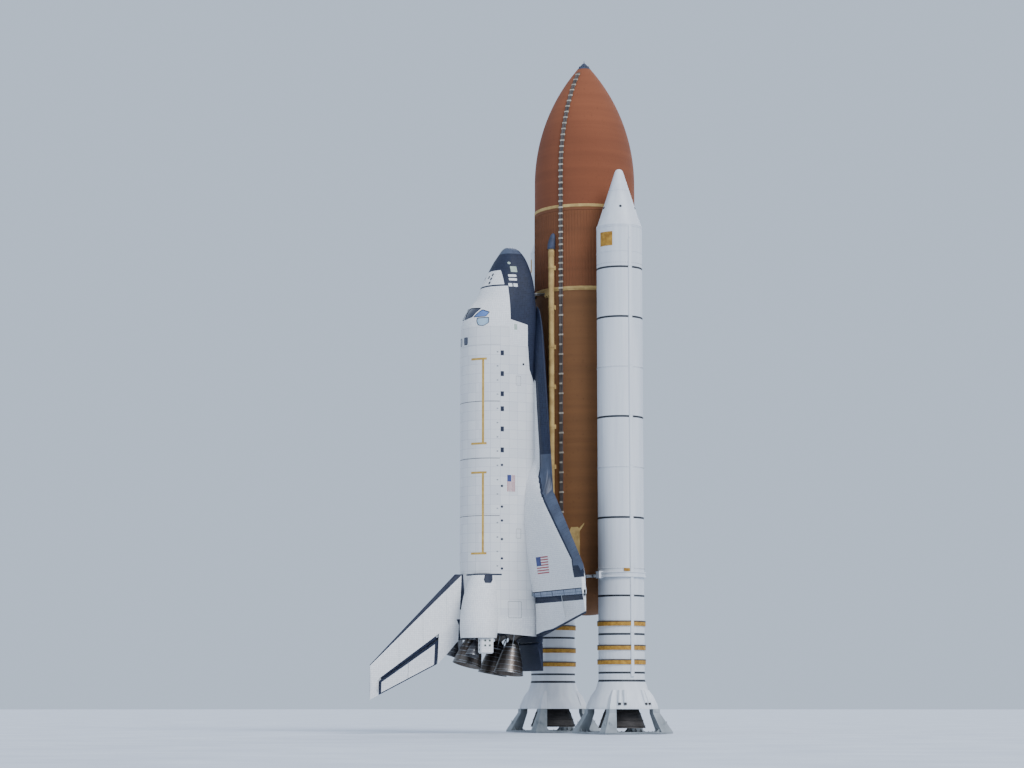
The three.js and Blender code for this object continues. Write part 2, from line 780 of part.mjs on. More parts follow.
function ogive(station) {
  return Math.sqrt(ogiveRadius ** 2 - (ogiveEnd - station) ** 2) + tankRadius - ogiveRadius;
}

const ogiveSteps = 8;
const ogiveStations = Array.from({ length: ogiveSteps + 1 }, (_, i) =>
  tankCapEnd + (ogiveEnd - tankCapEnd) * (i / ogiveSteps));

function tankCap() {
  const base = ogive(tankCapEnd);
  return turned([
    [height(tankTip), 0], [height(tankTip), 0.8], [height(331), 1.6], [height(333), 5],
    [height(tankCapEnd - 0.5), base - 0.3], [height(tankCapEnd) + seam, base], [height(tankCapEnd) + seam, 0],
  ], 24);
}

function oxygenTank() {
  const curve = ogiveStations.map((station) => [height(station), ogive(station)]);
  return turned([
    [height(tankCapEnd), 0], ...curve, [height(oxygenTankEnd - upperFlange), tankRadius],
    [height(oxygenTankEnd - upperFlange + flangeSlope), tankRadius + flangeProud],
    [height(oxygenTankEnd) + seam, tankRadius + flangeProud], [height(oxygenTankEnd) + seam, 0],
  ], tankSides);
}

function intertank() {
  return turned([
    [height(oxygenTankEnd), 0], [height(oxygenTankEnd), tankRadius + flangeProud],
    [height(intertankEnd) + seam, tankRadius + flangeProud], [height(intertankEnd) + seam, 0],
  ], tankSides);
}

function hydrogenTank() {
  const steps = 5;
  const dome = Array.from({ length: steps }, (_, i) => {
    const a = (Math.PI / 2) * (i / steps);
    return [height(hydrogenBarrelEnd + hydrogenDomeDepth * Math.sin(a)), tankRadius * Math.cos(a)];
  });
  return turned([
    [height(intertankEnd), 0], [height(intertankEnd), tankRadius + flangeProud],
    [height(intertankEnd + lowerFlange - flangeSlope), tankRadius + flangeProud],
    [height(intertankEnd + lowerFlange), tankRadius], ...dome,
    [height(hydrogenBarrelEnd + hydrogenDomeDepth), 0],
  ], tankSides);
}

// A place on the tank's skin at an angle to starboard from the orbiter's side, out by grow.
function onTank(station, angle, grow) {
  const a = (angle * Math.PI) / 180;
  const radius = (station < ogiveEnd ? ogive(station) : tankRadius) + grow;
  return [radius * Math.sin(a), -radius * Math.cos(a), height(station)];
}

const feedAngle = 26;
const feedRadius = 9.5;
const feedStandoff = 13;
const feedTop = 985;
const feedBend = 1998;
const feedBrackets = [1050, 1180, 1310, 1440, 1570, 1700, 1830, 1940];
const trayAngle = 36;
const traySize = [7, 6]; // half width, and height off the skin
const trayBrackets = Array.from({ length: 20 }, (_, i) => 400 + 82 * i);
const bracketSize = [8.2, 6.7];
const bracketHalf = 2.5;

const umbilical = [[46, -209, height(2072)], [76, -178, height(2038)]];

function oxygenFeedline() {
  let line = bar(onTank(feedTop, feedAngle, feedStandoff), onTank(feedBend, feedAngle, feedStandoff),
    feedRadius, feedRadius, 12);
  const end = [62, -190, umbilical[1][2] + seam];
  line = line.add(bar(onTank(feedBend - 3, feedAngle, feedStandoff), end, feedRadius, feedRadius, 12));
  line = line.add(bar(onTank(feedTop, feedAngle, feedStandoff + 0.5), onTank(feedTop - 52, feedAngle, -3), 13, 3, 12));
  for (const station of feedBrackets) {
    line = line.add(bar(onTank(station, feedAngle, feedStandoff), onTank(station, feedAngle, -4), 4, 4, 8));
  }
  const low = box([20, -230, height(2100)], [120, -140, umbilical[1][2] + seam]);
  return line.subtract(tankSkin(seam)).subtract(low);
}

// The tank's barrel as a solid, to cut what lies on it.
function tankSkin(grow) {
  const curve = ogiveStations.map((station) => [height(station), ogive(station) + grow]);
  return turned([
    [height(tankCapEnd) + grow, 0], ...curve,
    [height(oxygenTankEnd - upperFlange) + grow, tankRadius + grow],
    [height(oxygenTankEnd - upperFlange) + grow, tankRadius + flangeProud + grow],
    [height(intertankEnd + lowerFlange) - grow, tankRadius + flangeProud + grow],
    [height(intertankEnd + lowerFlange) - grow, tankRadius + grow],
    [height(hydrogenBarrelEnd), tankRadius + grow], [height(2180), tankRadius + grow], [height(2180), 0],
  ], tankSides);
}

// The tray's section at a station, from its half width and its height off the skin
function trayRing(station, [half, tall]) {
  const a = (trayAngle * Math.PI) / 180;
  const radial = [Math.sin(a), -Math.cos(a)];
  const tangent = [Math.cos(a), Math.sin(a)];
  const radius = station < ogiveEnd ? ogive(station) : tankRadius;
  return [[-half, -6], [half, -6], [half, tall], [-half, tall]].map(([u, v]) => [
    radial[0] * (radius + v) + tangent[0] * u, radial[1] * (radius + v) + tangent[1] * u, height(station),
  ]);
}

function cableTray() {
  const stations = [372, 420, 480, 550, 640, ogiveEnd, 1300, 1700, 2030];
  let tray = lofted(stations.map((station) => trayRing(station, traySize)));
  for (const station of trayBrackets) {
    const ends = [station - bracketHalf, station + bracketHalf];
    tray = tray.add(lofted(ends.map((end) => trayRing(end, bracketSize))));
  }
  return tray.subtract(tankSkin(seam));
}

function orbiterPlace() {
  return new THREE.Matrix4()
    .makeBasis(new THREE.Vector3(0, 0, -1), new THREE.Vector3(1, 0, 0), new THREE.Vector3(0, -1, 0))
    .setPosition(0, tankAxisHeight, height(orbiterDatum));
}

const bipodStation = 1129.9;
const bellyAt = (station) => tankAxisHeight - hullAt(station)[4];

function forwardBipod() {
  const apex = [0, bellyAt(bipodStation - orbiterDatum) - 3, height(bipodStation)];
  const foot = (side) => [side * 46, -150, height(bipodStation + 2)];
  let frame = bar(foot(-1), apex, 4.5, 4, 10).add(bar(foot(1), apex, 4.5, 4, 10));
  frame = frame.add(box([-9, apex[1], apex[2] - 9], [9, apex[1] + 16, apex[2] + 9]));
  return frame;
}

const aftMountStation = 2058;
const ballSide = 88;
const beamDepth = -190;

// Columns: tank station and angle where a strut meets the tank, and its radius
const mountStruts = [
  [2058, 50, 6.5],
  [1880, 63, 6],
];

function aftMount() {
  const z = height(aftMountStation);
  let frame = bar([-ballSide, beamDepth, z], [ballSide, beamDepth, z], 7, 7, 12);
  for (const side of [-1, 1]) {
    const ball = [side * ballSide, beamDepth, z];
    frame = frame.add(bar(ball, [side * ballSide, bellyAt(bayEnd) - 1, z], 9, 9, 12));
    for (const [station, angle, radius] of mountStruts) {
      frame = frame.add(bar(onTank(station, side * angle, -6), ball, radius, radius, 12));
    }
    const [low, high] = umbilical;
    const across = [side * low[0], side * high[0]].sort((a, b) => a - b);
    frame = frame.add(box([across[0], low[1], low[2]], [across[1], high[1], high[2]]));
  }
  return frame;
}

// Boosters, built round their own axis and then set to either side

const boosterHeight = (station) => floorStation - boosterDatum - station;
const tunnelTop = 440;
const tunnelEnd = 1830;

function noseCone() {
  return turned([
    [boosterHeight(200), 0], [boosterHeight(201), 5], [boosterHeight(205), 10], [boosterHeight(212), 14],
    [boosterHeight(275) + seam, 34], [boosterHeight(275) + seam, 0],
  ], boosterSides);
}

function frustum() {
  return turned([
    [boosterHeight(275), 0], [boosterHeight(275), 34], [boosterHeight(395) + seam, boosterRadius],
    [boosterHeight(395) + seam, 0],
  ], boosterSides);
}

// The tunnel's channel, on the side away from the tank.
function tunnelBar(grow) {
  return box([boosterRadius - 12, -6 - grow, boosterHeight(tunnelEnd) - grow],
    [boosterRadius + 4.2 + grow, 6 + grow, boosterHeight(tunnelTop) + grow]);
}

function boosterCore(from, to, grow = 0) {
  return turned([
    [boosterHeight(from), 0], [boosterHeight(from), boosterRadius + grow],
    [boosterHeight(to), boosterRadius + grow], [boosterHeight(to), 0],
  ], boosterSides);
}

function systemsTunnel() {
  return tunnelBar(0).subtract(boosterCore(300, 1900, seam));
}

function forwardSkirt() {
  const skirt = boosterCore(395, 520 - seam);
  const gap = boosterOffset - tankRadius - flangeProud;
  const fitting = box([-gap - 10, -14, boosterHeight(462)], [-boosterRadius + 8, 14, boosterHeight(424)]);
  const tank = moved(tankSkin(seam), [-boosterOffset, 0, 0]);
  return skirt.add(fitting).subtract(tank);
}

// Stations of the stiffening rings round the aft segment
const stiffeners = [1664, 1739, 1784];
const stiffenerHalf = 8;
const stiffenerProud = 3.6;
const nozzleBoss = 14;
const nozzleBossHalf = 20;

function motorCase() {
  const rings = stiffeners.flatMap((station) => [
    [boosterHeight(station - stiffenerHalf), boosterRadius],
    [boosterHeight(station - stiffenerHalf + 3), boosterRadius + stiffenerProud],
    [boosterHeight(station + stiffenerHalf - 3), boosterRadius + stiffenerProud],
    [boosterHeight(station + stiffenerHalf), boosterRadius],
  ]);
  const body = turned([
    [boosterHeight(520), 0], [boosterHeight(520), boosterRadius], ...rings,
    [boosterHeight(1837), boosterRadius], [boosterHeight(1837), 58], [boosterHeight(nozzlePivot), 50],
    [boosterHeight(nozzlePivot), 0],
  ], boosterSides);
  const channel = tunnelBar(seam).subtract(boosterCore(300, 1900, 0.01));
  const z = boosterHeight(nozzlePivot);
  const reach = nozzleBossHalf + seam;
  const trough = bore([-reach, 0, z], [reach, 0, z], nozzleBoss + pinFit, undefined, 16);
  return body.subtract(channel).subtract(trough);
}

const ringTop = 1503;
const ringEnd = 1519;
const ringProud = 6.5;

// Struts from the ring to the tank: ends as distances to starboard and back, and radius
const strutTable = [
  [[-52, 56], [-112, 74], 4.5],
  [[-52, -56], [-112, -74], 4.5],
  [[-40, 66], [-128, 92], 4],
];

// A junction box on the ring's orbiter side
const ringBox = [
  [-8, -boosterRadius - 12, boosterHeight(ringEnd + 3)], [14, -boosterRadius + 4, boosterHeight(ringTop - 3)],
];

function attachRing() {
  const [inner, outer] = [boosterRadius + seam, boosterRadius + ringProud];
  let ring = turned([
    [boosterHeight(ringTop), inner], [boosterHeight(ringTop), outer], [boosterHeight(ringEnd), outer],
    [boosterHeight(ringEnd), inner],
  ], boosterSides, true);
  ring = ring.subtract(tunnelBar(seam));
  const z = boosterHeight((ringTop + ringEnd) / 2);
  const tank = moved(tankSkin(seam), [-boosterOffset, 0, 0]);
  const core = boosterCore(ringTop - 20, ringEnd + 20, seam);
  for (const [from, to, radius] of strutTable) {
    const strut = bar([...from, z], [...to, z], radius, radius, 10);
    ring = ring.add(strut.subtract(tank).subtract(core));
  }
  const [low, high] = ringBox;
  return ring.add(box(low, high).subtract(core));
}

// Corners where each booster is held down
const postCorners = [[1, 1], [1, -1], [-1, 1], [-1, -1]];

// Separation motors, on the side away from the tank: angles in degrees
const separationMotors = [-31, -21, 21, 31];

function aftSkirt() {
  const top = 1837;
  let skirt = turned([
    [boosterHeight(top + 0.06), 59], [boosterHeight(top + 0.06), boosterRadius],
    [boosterHeight(1846), boosterRadius + 2], [boosterHeight(1922), 103.5], [boosterHeight(skirtEnd), 104],
    [boosterHeight(skirtEnd), 98], [boosterHeight(1922), 98], [boosterHeight(1852), 70],
    [boosterHeight(1842), 66], [boosterHeight(1842), 59],
  ], boosterSides, true);
  const cavity = turned([
    [boosterHeight(1842), 0], [boosterHeight(1842), 66], [boosterHeight(1852), 70], [boosterHeight(1922), 98],
    [boosterHeight(1940), 98], [boosterHeight(1940), 0],
  ], boosterSides);
  for (const [sx, sy] of postCorners) {
    const ring = (z, half, out) => [[-half, -half], [half, -half], [half, half], [-half, half]]
      .map(([u, v]) => [sx * (postOffset + out) + u, sy * (postOffset + out) + v, z]);
    const foot = lofted([ring(boosterHeight(1876), 7, -11), ring(boosterHeight(1915), 10, 2),
      ring(boosterHeight(skirtEnd), 11, 3)]);
    skirt = skirt.add(foot.subtract(cavity));
  }
  for (const turn of separationMotors) {
    const a = (turn * Math.PI) / 180;
    const at = (radius, station) => [radius * Math.cos(a), radius * Math.sin(a), boosterHeight(station)];
    skirt = skirt.add(bar(at(84, 1872), at(101, 1912), 6, 6, 10).subtract(cavity));
  }
  return skirt;
}

// Distance below the pivot, and radius
const nozzleBell = [[42, 30], [66, 43.5], [104, 60.2], [144.9, 74.8]];
const nozzleProfile = [
  [5, 0], [5, 11], [22, 30], [34, 32], ...banded(nozzleBell, [60, 82, 116, 132], 1.8, 1.4), [144.9, 72.6],
  [104, 57], [66, 40], [42, 24], [38, 0],
];

function boosterNozzle() {
  const z = boosterHeight(nozzlePivot);
  const bell = turned(nozzleProfile.map(([down, radius]) => [z - down, radius]), boosterSides);
  return bell.add(
    bar([-nozzleBossHalf, 0, z], [nozzleBossHalf, 0, z], nozzleBoss, nozzleBoss, 16));
}

// The platform's four support posts, on the frame round its exhaust opening.
function supportPosts() {
  const top = boosterHeight(skirtEnd) - seam;
  const frameHalf = 118;
  const frameInner = 98;
  let frame = box([-frameHalf, -frameHalf, 0], [frameHalf, frameHalf, 5])
    .subtract(box([-frameInner, -frameInner, -1], [frameInner, frameInner, 6]));
  for (const [sx, sy] of postCorners) {
    const ring = (z, half, out) => [[-half, -half], [half, -half], [half, half], [-half, half]]
      .map(([u, v]) => [sx * (postOffset + out) + u, sy * (postOffset + out) + v, z]);
    frame = frame.add(lofted([ring(0, 20, 28), ring(6, 20, 28), ring(top - 12, 12, 6), ring(top, 12, 6)]));
  }
  return frame;
}

// Assembly

const orbiter = new THREE.Group();
orbiterPlace().decompose(orbiter.position, orbiter.quaternion, orbiter.scale);

const wingWhole = wingBlank();
const finWhole = finBlank();
const starboardWing = wing(wingWhole);
const carbonEdge = wingWhole.intersect(carbonStrip(0));
const hullSpace = hull(400, baseStation + 60, seam);
const starboardPod = manoeuvringPod();
const starboardPodEngine = podEngine();
const starboardDoor = bayDoor();

orbiter.add(
  piece("nose_cap", hull(238, noseCapEnd), "carbon_edge"),
  piece("forward_fuselage", forwardFuselage(), "white_blanket"),
  piece("windshield", windshield(), "dark_glass"),
  piece("crew_hatch", crewHatch(), "white_blanket"),
  piece("mid_fuselage", midFuselage(), "white_blanket"),
  piece("bay_door_right", starboardDoor, "white_blanket"),
  piece("bay_door_left", mirrored(starboardDoor), "white_blanket"),
  piece("aft_fuselage", aftFuselage(), "white_blanket"),
  piece("body_flap", bodyFlap(), "black_tile"),
  piece("manoeuvring_pod_right", starboardPod.subtract(hullSpace), "white_blanket"),
  piece("manoeuvring_pod_left", mirrored(starboardPod).subtract(hullSpace), "white_blanket"),
  piece("pod_engine_right", starboardPodEngine, "nozzle_metal"),
  piece("pod_engine_left", mirrored(starboardPodEngine), "nozzle_metal"),
  piece("wing_right", starboardWing.subtract(hullSpace), "white_blanket"),
  piece("wing_left", mirrored(starboardWing).subtract(hullSpace), "white_blanket"),
  piece("wing_edge_right", carbonEdge.subtract(hullSpace), "carbon_edge"),
  piece("wing_edge_left", mirrored(carbonEdge).subtract(hullSpace), "carbon_edge"),
  piece("vertical_fin", verticalFin(finWhole), "white_blanket"),
  piece("rudder_shaft", rudderShaft(), "black_tile"),
  piece("rudder_panel_right", rudderPanel(finWhole, 1, collars.right), "white_blanket"),
  piece("rudder_panel_left", rudderPanel(finWhole, -1, collars.left), "white_blanket"),
);
for (const row of engineTable) orbiter.add(piece(row[0], mainEngine(row), "nozzle_metal"));
for (const row of elevonTable) {
  const surface = elevon(wingWhole, row);
  orbiter.add(piece(`elevon_${row[0]}_right`, surface, "white_blanket"));
  orbiter.add(piece(`elevon_${row[0]}_left`, mirrored(surface), "white_blanket"));
}

// What the orbiter takes up behind its belly, as it stands in the stack
const wingSpace = wingWhole.add(mirrored(wingWhole));
const orbiterSpace = solidOf(
  geometryOf(moved(wingSpace, [0, 0, -seam]).add(hullSpace)).applyMatrix4(orbiterPlace()));

const forwardSpace = solidOf(geometryOf(hull(330, bayStart, seam)).applyMatrix4(orbiterPlace()));

const tank = new THREE.Group();
tank.add(
  piece("tank_cap", tankCap(), "dark_cone"),
  piece("oxygen_tank", oxygenTank(), "orange_foam"),
  piece("intertank", intertank(), "orange_foam"),
  piece("hydrogen_tank", hydrogenTank(), "orange_foam"),
  piece("oxygen_feedline", oxygenFeedline(), "tan_foam"),
  piece("cable_tray", cableTray(), "dark_cone"),
  piece("forward_bipod", forwardBipod().subtract(tankSkin(seam)).subtract(forwardSpace), "tan_foam"),
  piece("aft_mount", aftMount().subtract(tankSkin(seam)).subtract(orbiterSpace), "tan_foam"),
);

function booster(side) {
  const group = new THREE.Group();
  const suffix = side > 0 ? "right" : "left";
  const makers = [
    ["booster_nose", noseCone, "white_paint"],
    ["booster_frustum", frustum, "white_paint"],
    ["booster_forward_skirt", forwardSkirt, "white_paint"],
    ["booster_motor", motorCase, "white_paint"],
    ["booster_tunnel", systemsTunnel, "white_paint"],
    ["booster_ring", attachRing, "white_paint"],
    ["booster_aft_skirt", aftSkirt, "white_paint"],
    ["booster_nozzle", boosterNozzle, "dark_cone"],
    ["support_posts", supportPosts, "grey_steel"],
  ];
  for (const [name, make, finish] of makers) {
    const mesh = piece(`${name}_${suffix}`, make(), finish);
    if (side < 0) mesh.geometry = geometryOf(solidOf(mesh.geometry.clone().scale(-1, 1, 1)));
    group.add(mesh);
  }
  group.position.x = side * boosterOffset;
  return group;
}

// The origin is on the floor, in the middle of the stack's own box.
const finTipReach = finTipHeight - tankAxisHeight;
const tankBackReach = tankRadius + 1.2;
const root = new THREE.Group();
const stack = new THREE.Group();
stack.add(orbiter, tank, booster(1), booster(-1));
stack.position.y = (finTipReach - tankBackReach) / 2;
root.add(stack);
root.scale.setScalar(millimetresPerInch * modelScale);

export default root;
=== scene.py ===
"""Looks of the space shuttle stack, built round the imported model.

Sizes are the full-size vehicle's inches and stations, as in the part's source, and each group's
matrix turns them into metres at half scale. Orbiter points are (station, to starboard, height),
tank points (to starboard, away from the orbiter, tank station), and booster points (outboard,
away from the orbiter, booster station).
"""

from math import asin, atan2, cos, degrees, hypot, pi, radians, sin, sqrt

import bmesh
import bpy
import numpy as np
from mathutils import Euler, Matrix, Vector


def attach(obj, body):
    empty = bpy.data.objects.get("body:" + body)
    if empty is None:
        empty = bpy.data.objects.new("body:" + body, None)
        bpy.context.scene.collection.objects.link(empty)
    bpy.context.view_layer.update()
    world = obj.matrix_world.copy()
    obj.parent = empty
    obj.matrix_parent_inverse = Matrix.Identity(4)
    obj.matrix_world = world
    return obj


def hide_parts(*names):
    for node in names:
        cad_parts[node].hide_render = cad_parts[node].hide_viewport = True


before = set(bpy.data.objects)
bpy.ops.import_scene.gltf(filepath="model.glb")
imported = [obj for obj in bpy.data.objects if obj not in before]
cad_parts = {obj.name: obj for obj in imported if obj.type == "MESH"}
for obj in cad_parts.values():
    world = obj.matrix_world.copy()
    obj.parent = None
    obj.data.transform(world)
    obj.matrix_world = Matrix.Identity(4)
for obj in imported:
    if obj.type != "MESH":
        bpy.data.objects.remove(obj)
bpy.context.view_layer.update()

# Scale and places

INCH = 0.0127
TANK_AXIS = 292.75
ORBITER_AXIS = 356.25
ORBITER_FLOOR, TANK_FLOOR = 1809, 2550
ORBITER = Matrix((
    (0, INCH, 0, 0), (0, 0, -INCH, ORBITER_AXIS * INCH), (-INCH, 0, 0, ORBITER_FLOOR * INCH), (0, 0, 0, 1)))
TANK = Matrix((
    (INCH, 0, 0, 0), (0, INCH, 0, TANK_AXIS * INCH), (0, 0, -INCH, TANK_FLOOR * INCH), (0, 0, 0, 1)))
MIRROR = Matrix.Diagonal((1, -1, 1, 1))
BOOSTER_OFFSET = 250.5
BOOSTER_DATUM = 543
SIDES = {"right": 1, "left": -1}


def booster_frame(side):
    outboard = Matrix.Diagonal((SIDES[side], 1, 1, 1))
    outboard[0][3] = SIDES[side] * BOOSTER_OFFSET
    outboard[2][3] = BOOSTER_DATUM
    return TANK @ outboard


# Camera, lights and floor, in metres

CAMERA_AZIMUTH = 65.4
CAMERA_DISTANCE = 100
CAMERA_HEIGHT = 1.2
CAMERA_LENS = 86
CAMERA_REACH = 1000
AIM = Vector((0, 0.35, 14.25))
SKY, SKY_STRENGTH = "#cfe0f7", 0.95
FLOOR_TOP, FLOOR_BOTTOM, FLOOR_RADIUS = -0.02, -0.5, 400


def placed(name, data):
    """A new object in the scene."""
    thing = bpy.data.objects.new(name, data)
    bpy.context.scene.collection.objects.link(thing)
    return thing


def make_camera():
    turn = radians(CAMERA_AZIMUTH)
    spot = Vector((AIM.x + CAMERA_DISTANCE * sin(turn), AIM.y - CAMERA_DISTANCE * cos(turn), CAMERA_HEIGHT))
    camera = placed("camera", bpy.data.cameras.new("camera"))
    camera.data.lens = CAMERA_LENS
    camera.data.clip_end = CAMERA_REACH
    camera.location = spot
    camera.rotation_euler = (AIM - spot).to_track_quat("-Z", "Y").to_euler()
    bpy.context.scene.camera = camera


def colour(code):
    """An sRGB hex colour as linear light."""
    parts = [int(code[i:i + 2], 16) / 255 for i in (1, 3, 5)]
    return [c / 12.92 if c <= 0.04045 else ((c + 0.055) / 1.055) ** 2.4 for c in parts] + [1]


def make_lights():
    for name, azimuth, elevation, strength, softness, tint in (
        ("key", 100, 42, 3.1, 30, "#f4f5fa"),
        ("fill", 10, 25, 0.2, 60, "#d9e5ff"),
        ("rim", 230, 35, 1.4, 40, "#e8efff"),
    ):
        lamp = placed(name, bpy.data.lights.new(name, "SUN"))
        lamp.data.energy = strength
        lamp.data.angle = radians(softness)
        lamp.data.color = colour(tint)[:3]
        lamp.rotation_euler = Euler((radians(90 - elevation), 0, radians(azimuth)))
    world = bpy.data.worlds.new("studio")
    world.use_nodes = True
    background = world.node_tree.nodes["Background"].inputs
    background[0].default_value = colour(SKY)
    background[1].default_value = SKY_STRENGTH
    bpy.context.scene.world = world


def make_floor():
    profile = [(FLOOR_TOP, 0), (FLOOR_TOP, FLOOR_RADIUS), (FLOOR_BOTTOM, FLOOR_RADIUS), (FLOOR_BOTTOM, 0)]
    floor = placed("floor", mesh_of(turned(profile)))
    floor.data.materials.append(FINISHES["floor"])


# Nodes and finishes

def add(tree, kind, inputs=(), **settings):
    """Adds a node with its settings, and links or sets its inputs, given in order or by name."""
    node = tree.nodes.new(kind)
    for key, value in settings.items():
        setattr(node, key, value)
    for key, value in inputs.items() if isinstance(inputs, dict) else enumerate(inputs):
        if isinstance(value, bpy.types.Node):
            value = value.outputs[0]
        if isinstance(value, bpy.types.NodeSocket):
            tree.links.new(value, node.inputs[key])
        else:
            node.inputs[key].default_value = value
    return node


def figure(tree, operation, *inputs):
    """A number worked out from one or two others."""
    return add(tree, "ShaderNodeMath", inputs, operation=operation)


def noise(tree, scale, stretch=(1, 1, 1), detail=3):
    """Noise on the piece's own coordinates, in cells of 1 / scale metres."""
    place = add(tree, "ShaderNodeTexCoord").outputs["Object"]
    spread = add(tree, "ShaderNodeMapping", {"Vector": place, "Scale": stretch})
    return add(tree, "ShaderNodeTexNoise", {
        "Vector": spread, "Scale": scale, "Detail": detail, "Roughness": 0.55})


def layered(tree, light, *layers):
    """A colour, and others laid over it, each by a factor of its own."""
    tone = colour(light)
    for factor, code in layers:
        tone = add(tree, "ShaderNodeMix", {0: factor, 6: tone, 7: colour(code)}, data_type="RGBA").outputs[2]
    return tone


def finish(name, base, roughness, metallic=0.0, bump=None, depth=0.002, **more):
    """A material from functions for its base colour and for its bump's height."""
    material = bpy.data.materials.new(name)
    material.use_nodes = True
    tree = material.node_tree
    tree.nodes.clear()
    inputs = {"Roughness": roughness, "Metallic": metallic, "Base Color": base(tree), **more}
    if bump:
        inputs["Normal"] = add(tree, "ShaderNodeBump", {
            "Height": bump(tree), "Distance": depth, "Strength": 0.8})
    shader = add(tree, "ShaderNodeBsdfPrincipled", inputs)
    add(tree, "ShaderNodeOutputMaterial", (shader,))
    return material


# Seams across an axis show on faces that are turned to it by less than this
LEVEL_LIMIT, UPRIGHT_LIMIT = 0.35, 0.78


def grid_of(tree, cell, gap):
    """Seams of a square grid on the skin: 1 in a seam, and a number for each cell.

    Of the two level ways, a face shows the one that crosses it more squarely, or both where it
    faces up or down.
    """
    own = add(tree, "ShaderNodeTexCoord").outputs
    cells = add(tree, "ShaderNodeVectorMath", (own["Object"], (1 / cell,) * 3), operation="MULTIPLY")
    inner = add(tree, "ShaderNodeVectorMath", (cells,), operation="FRACTION")
    whole = add(tree, "ShaderNodeVectorMath", (cells,), operation="FLOOR")
    facing = add(tree, "ShaderNodeVectorMath", (own["Normal"],), operation="ABSOLUTE")
    split, turned_to = (add(tree, "ShaderNodeSeparateXYZ", (v,)).outputs for v in (inner, facing))
    limits = [figure(tree, "MAXIMUM", turned_to[other], LEVEL_LIMIT) for other in (1, 0)]
    seam = 0.0
    for axis, limit in enumerate((*limits, UPRIGHT_LIMIT)):
        off = figure(tree, "ABSOLUTE", figure(tree, "SUBTRACT", split[axis], 0.5))
        edge = figure(tree, "GREATER_THAN", off, 0.5 - gap / cell / 2)
        shown = figure(tree, "LESS_THAN", turned_to[axis], limit)
        seam = figure(tree, "MAXIMUM", seam, figure(tree, "MULTIPLY", edge, shown))
    return seam, add(tree, "ShaderNodeTexWhiteNoise", (whole,)).outputs["Value"]


def tiled(light, dark, seam_tint, cell, gap):
    """Base colour of tiles or sheets: each cell a shade of its own, with seams between."""
    def base(tree):
        seam, number = grid_of(tree, cell, gap)
        stain = noise(tree, 0.6, detail=5)
        shade = figure(tree, "MULTIPLY", number, stain)
        return layered(tree, light, (shade, dark), (seam, seam_tint))
    return base


def seam_bump(cell, gap):
    def height(tree):
        return figure(tree, "SUBTRACT", 1.0, grid_of(tree, cell, gap)[0])
    return height


def mottled(light, dark, scale, stretch=(1, 1, 1), detail=4):
    """Base colour that wanders between two shades."""
    def base(tree):
        cloud = noise(tree, scale, stretch, detail)
        return layered(tree, light, (add(tree, "ShaderNodeMapRange", (cloud, 0.35, 0.65, 0.0, 1.0)), dark))
    return base


def grain(scale, stretch=(1, 1, 1), detail=3):
    return lambda tree: noise(tree, scale, stretch, detail)


def foam(name, light, dark, patch):
    """Sprayed polyurethane foam: an orange-peel skin in spray rings, browned unevenly by the sun."""
    def base(tree):
        rings = noise(tree, 1.6, (0.04, 0.04, 1.8))
        soft = figure(tree, "MULTIPLY", rings, 0.4)
        both = figure(tree, "ADD", noise(tree, 0.16, detail=2), soft)
        spread = add(tree, "ShaderNodeMapRange", (both, 0.5, 0.9, 0.0, 1.0))
        spots = add(tree, "ShaderNodeMapRange", (noise(tree, 9, detail=6), 0.6, 0.72, 0.0, 0.35))
        return layered(tree, light, (spread, dark), (spots, patch))
    return finish(name, base, 0.95, bump=grain(26, detail=6), depth=0.006)


def glass(name, light, dark):
    return finish(name, mottled(light, dark, 1.5), 0.06, **{"IOR": 1.46, "Coat Weight": 1.0})


TILE_CELL = 6 * INCH  # the real tiles' six inches
TILE_GAP = 0.3 * INCH  # wider than the real gap, so that it shows
SHEET_CELL = 30 * INCH
SHEET_GAP = 0.7 * INCH
TILE_BUMP = seam_bump(TILE_CELL, TILE_GAP)

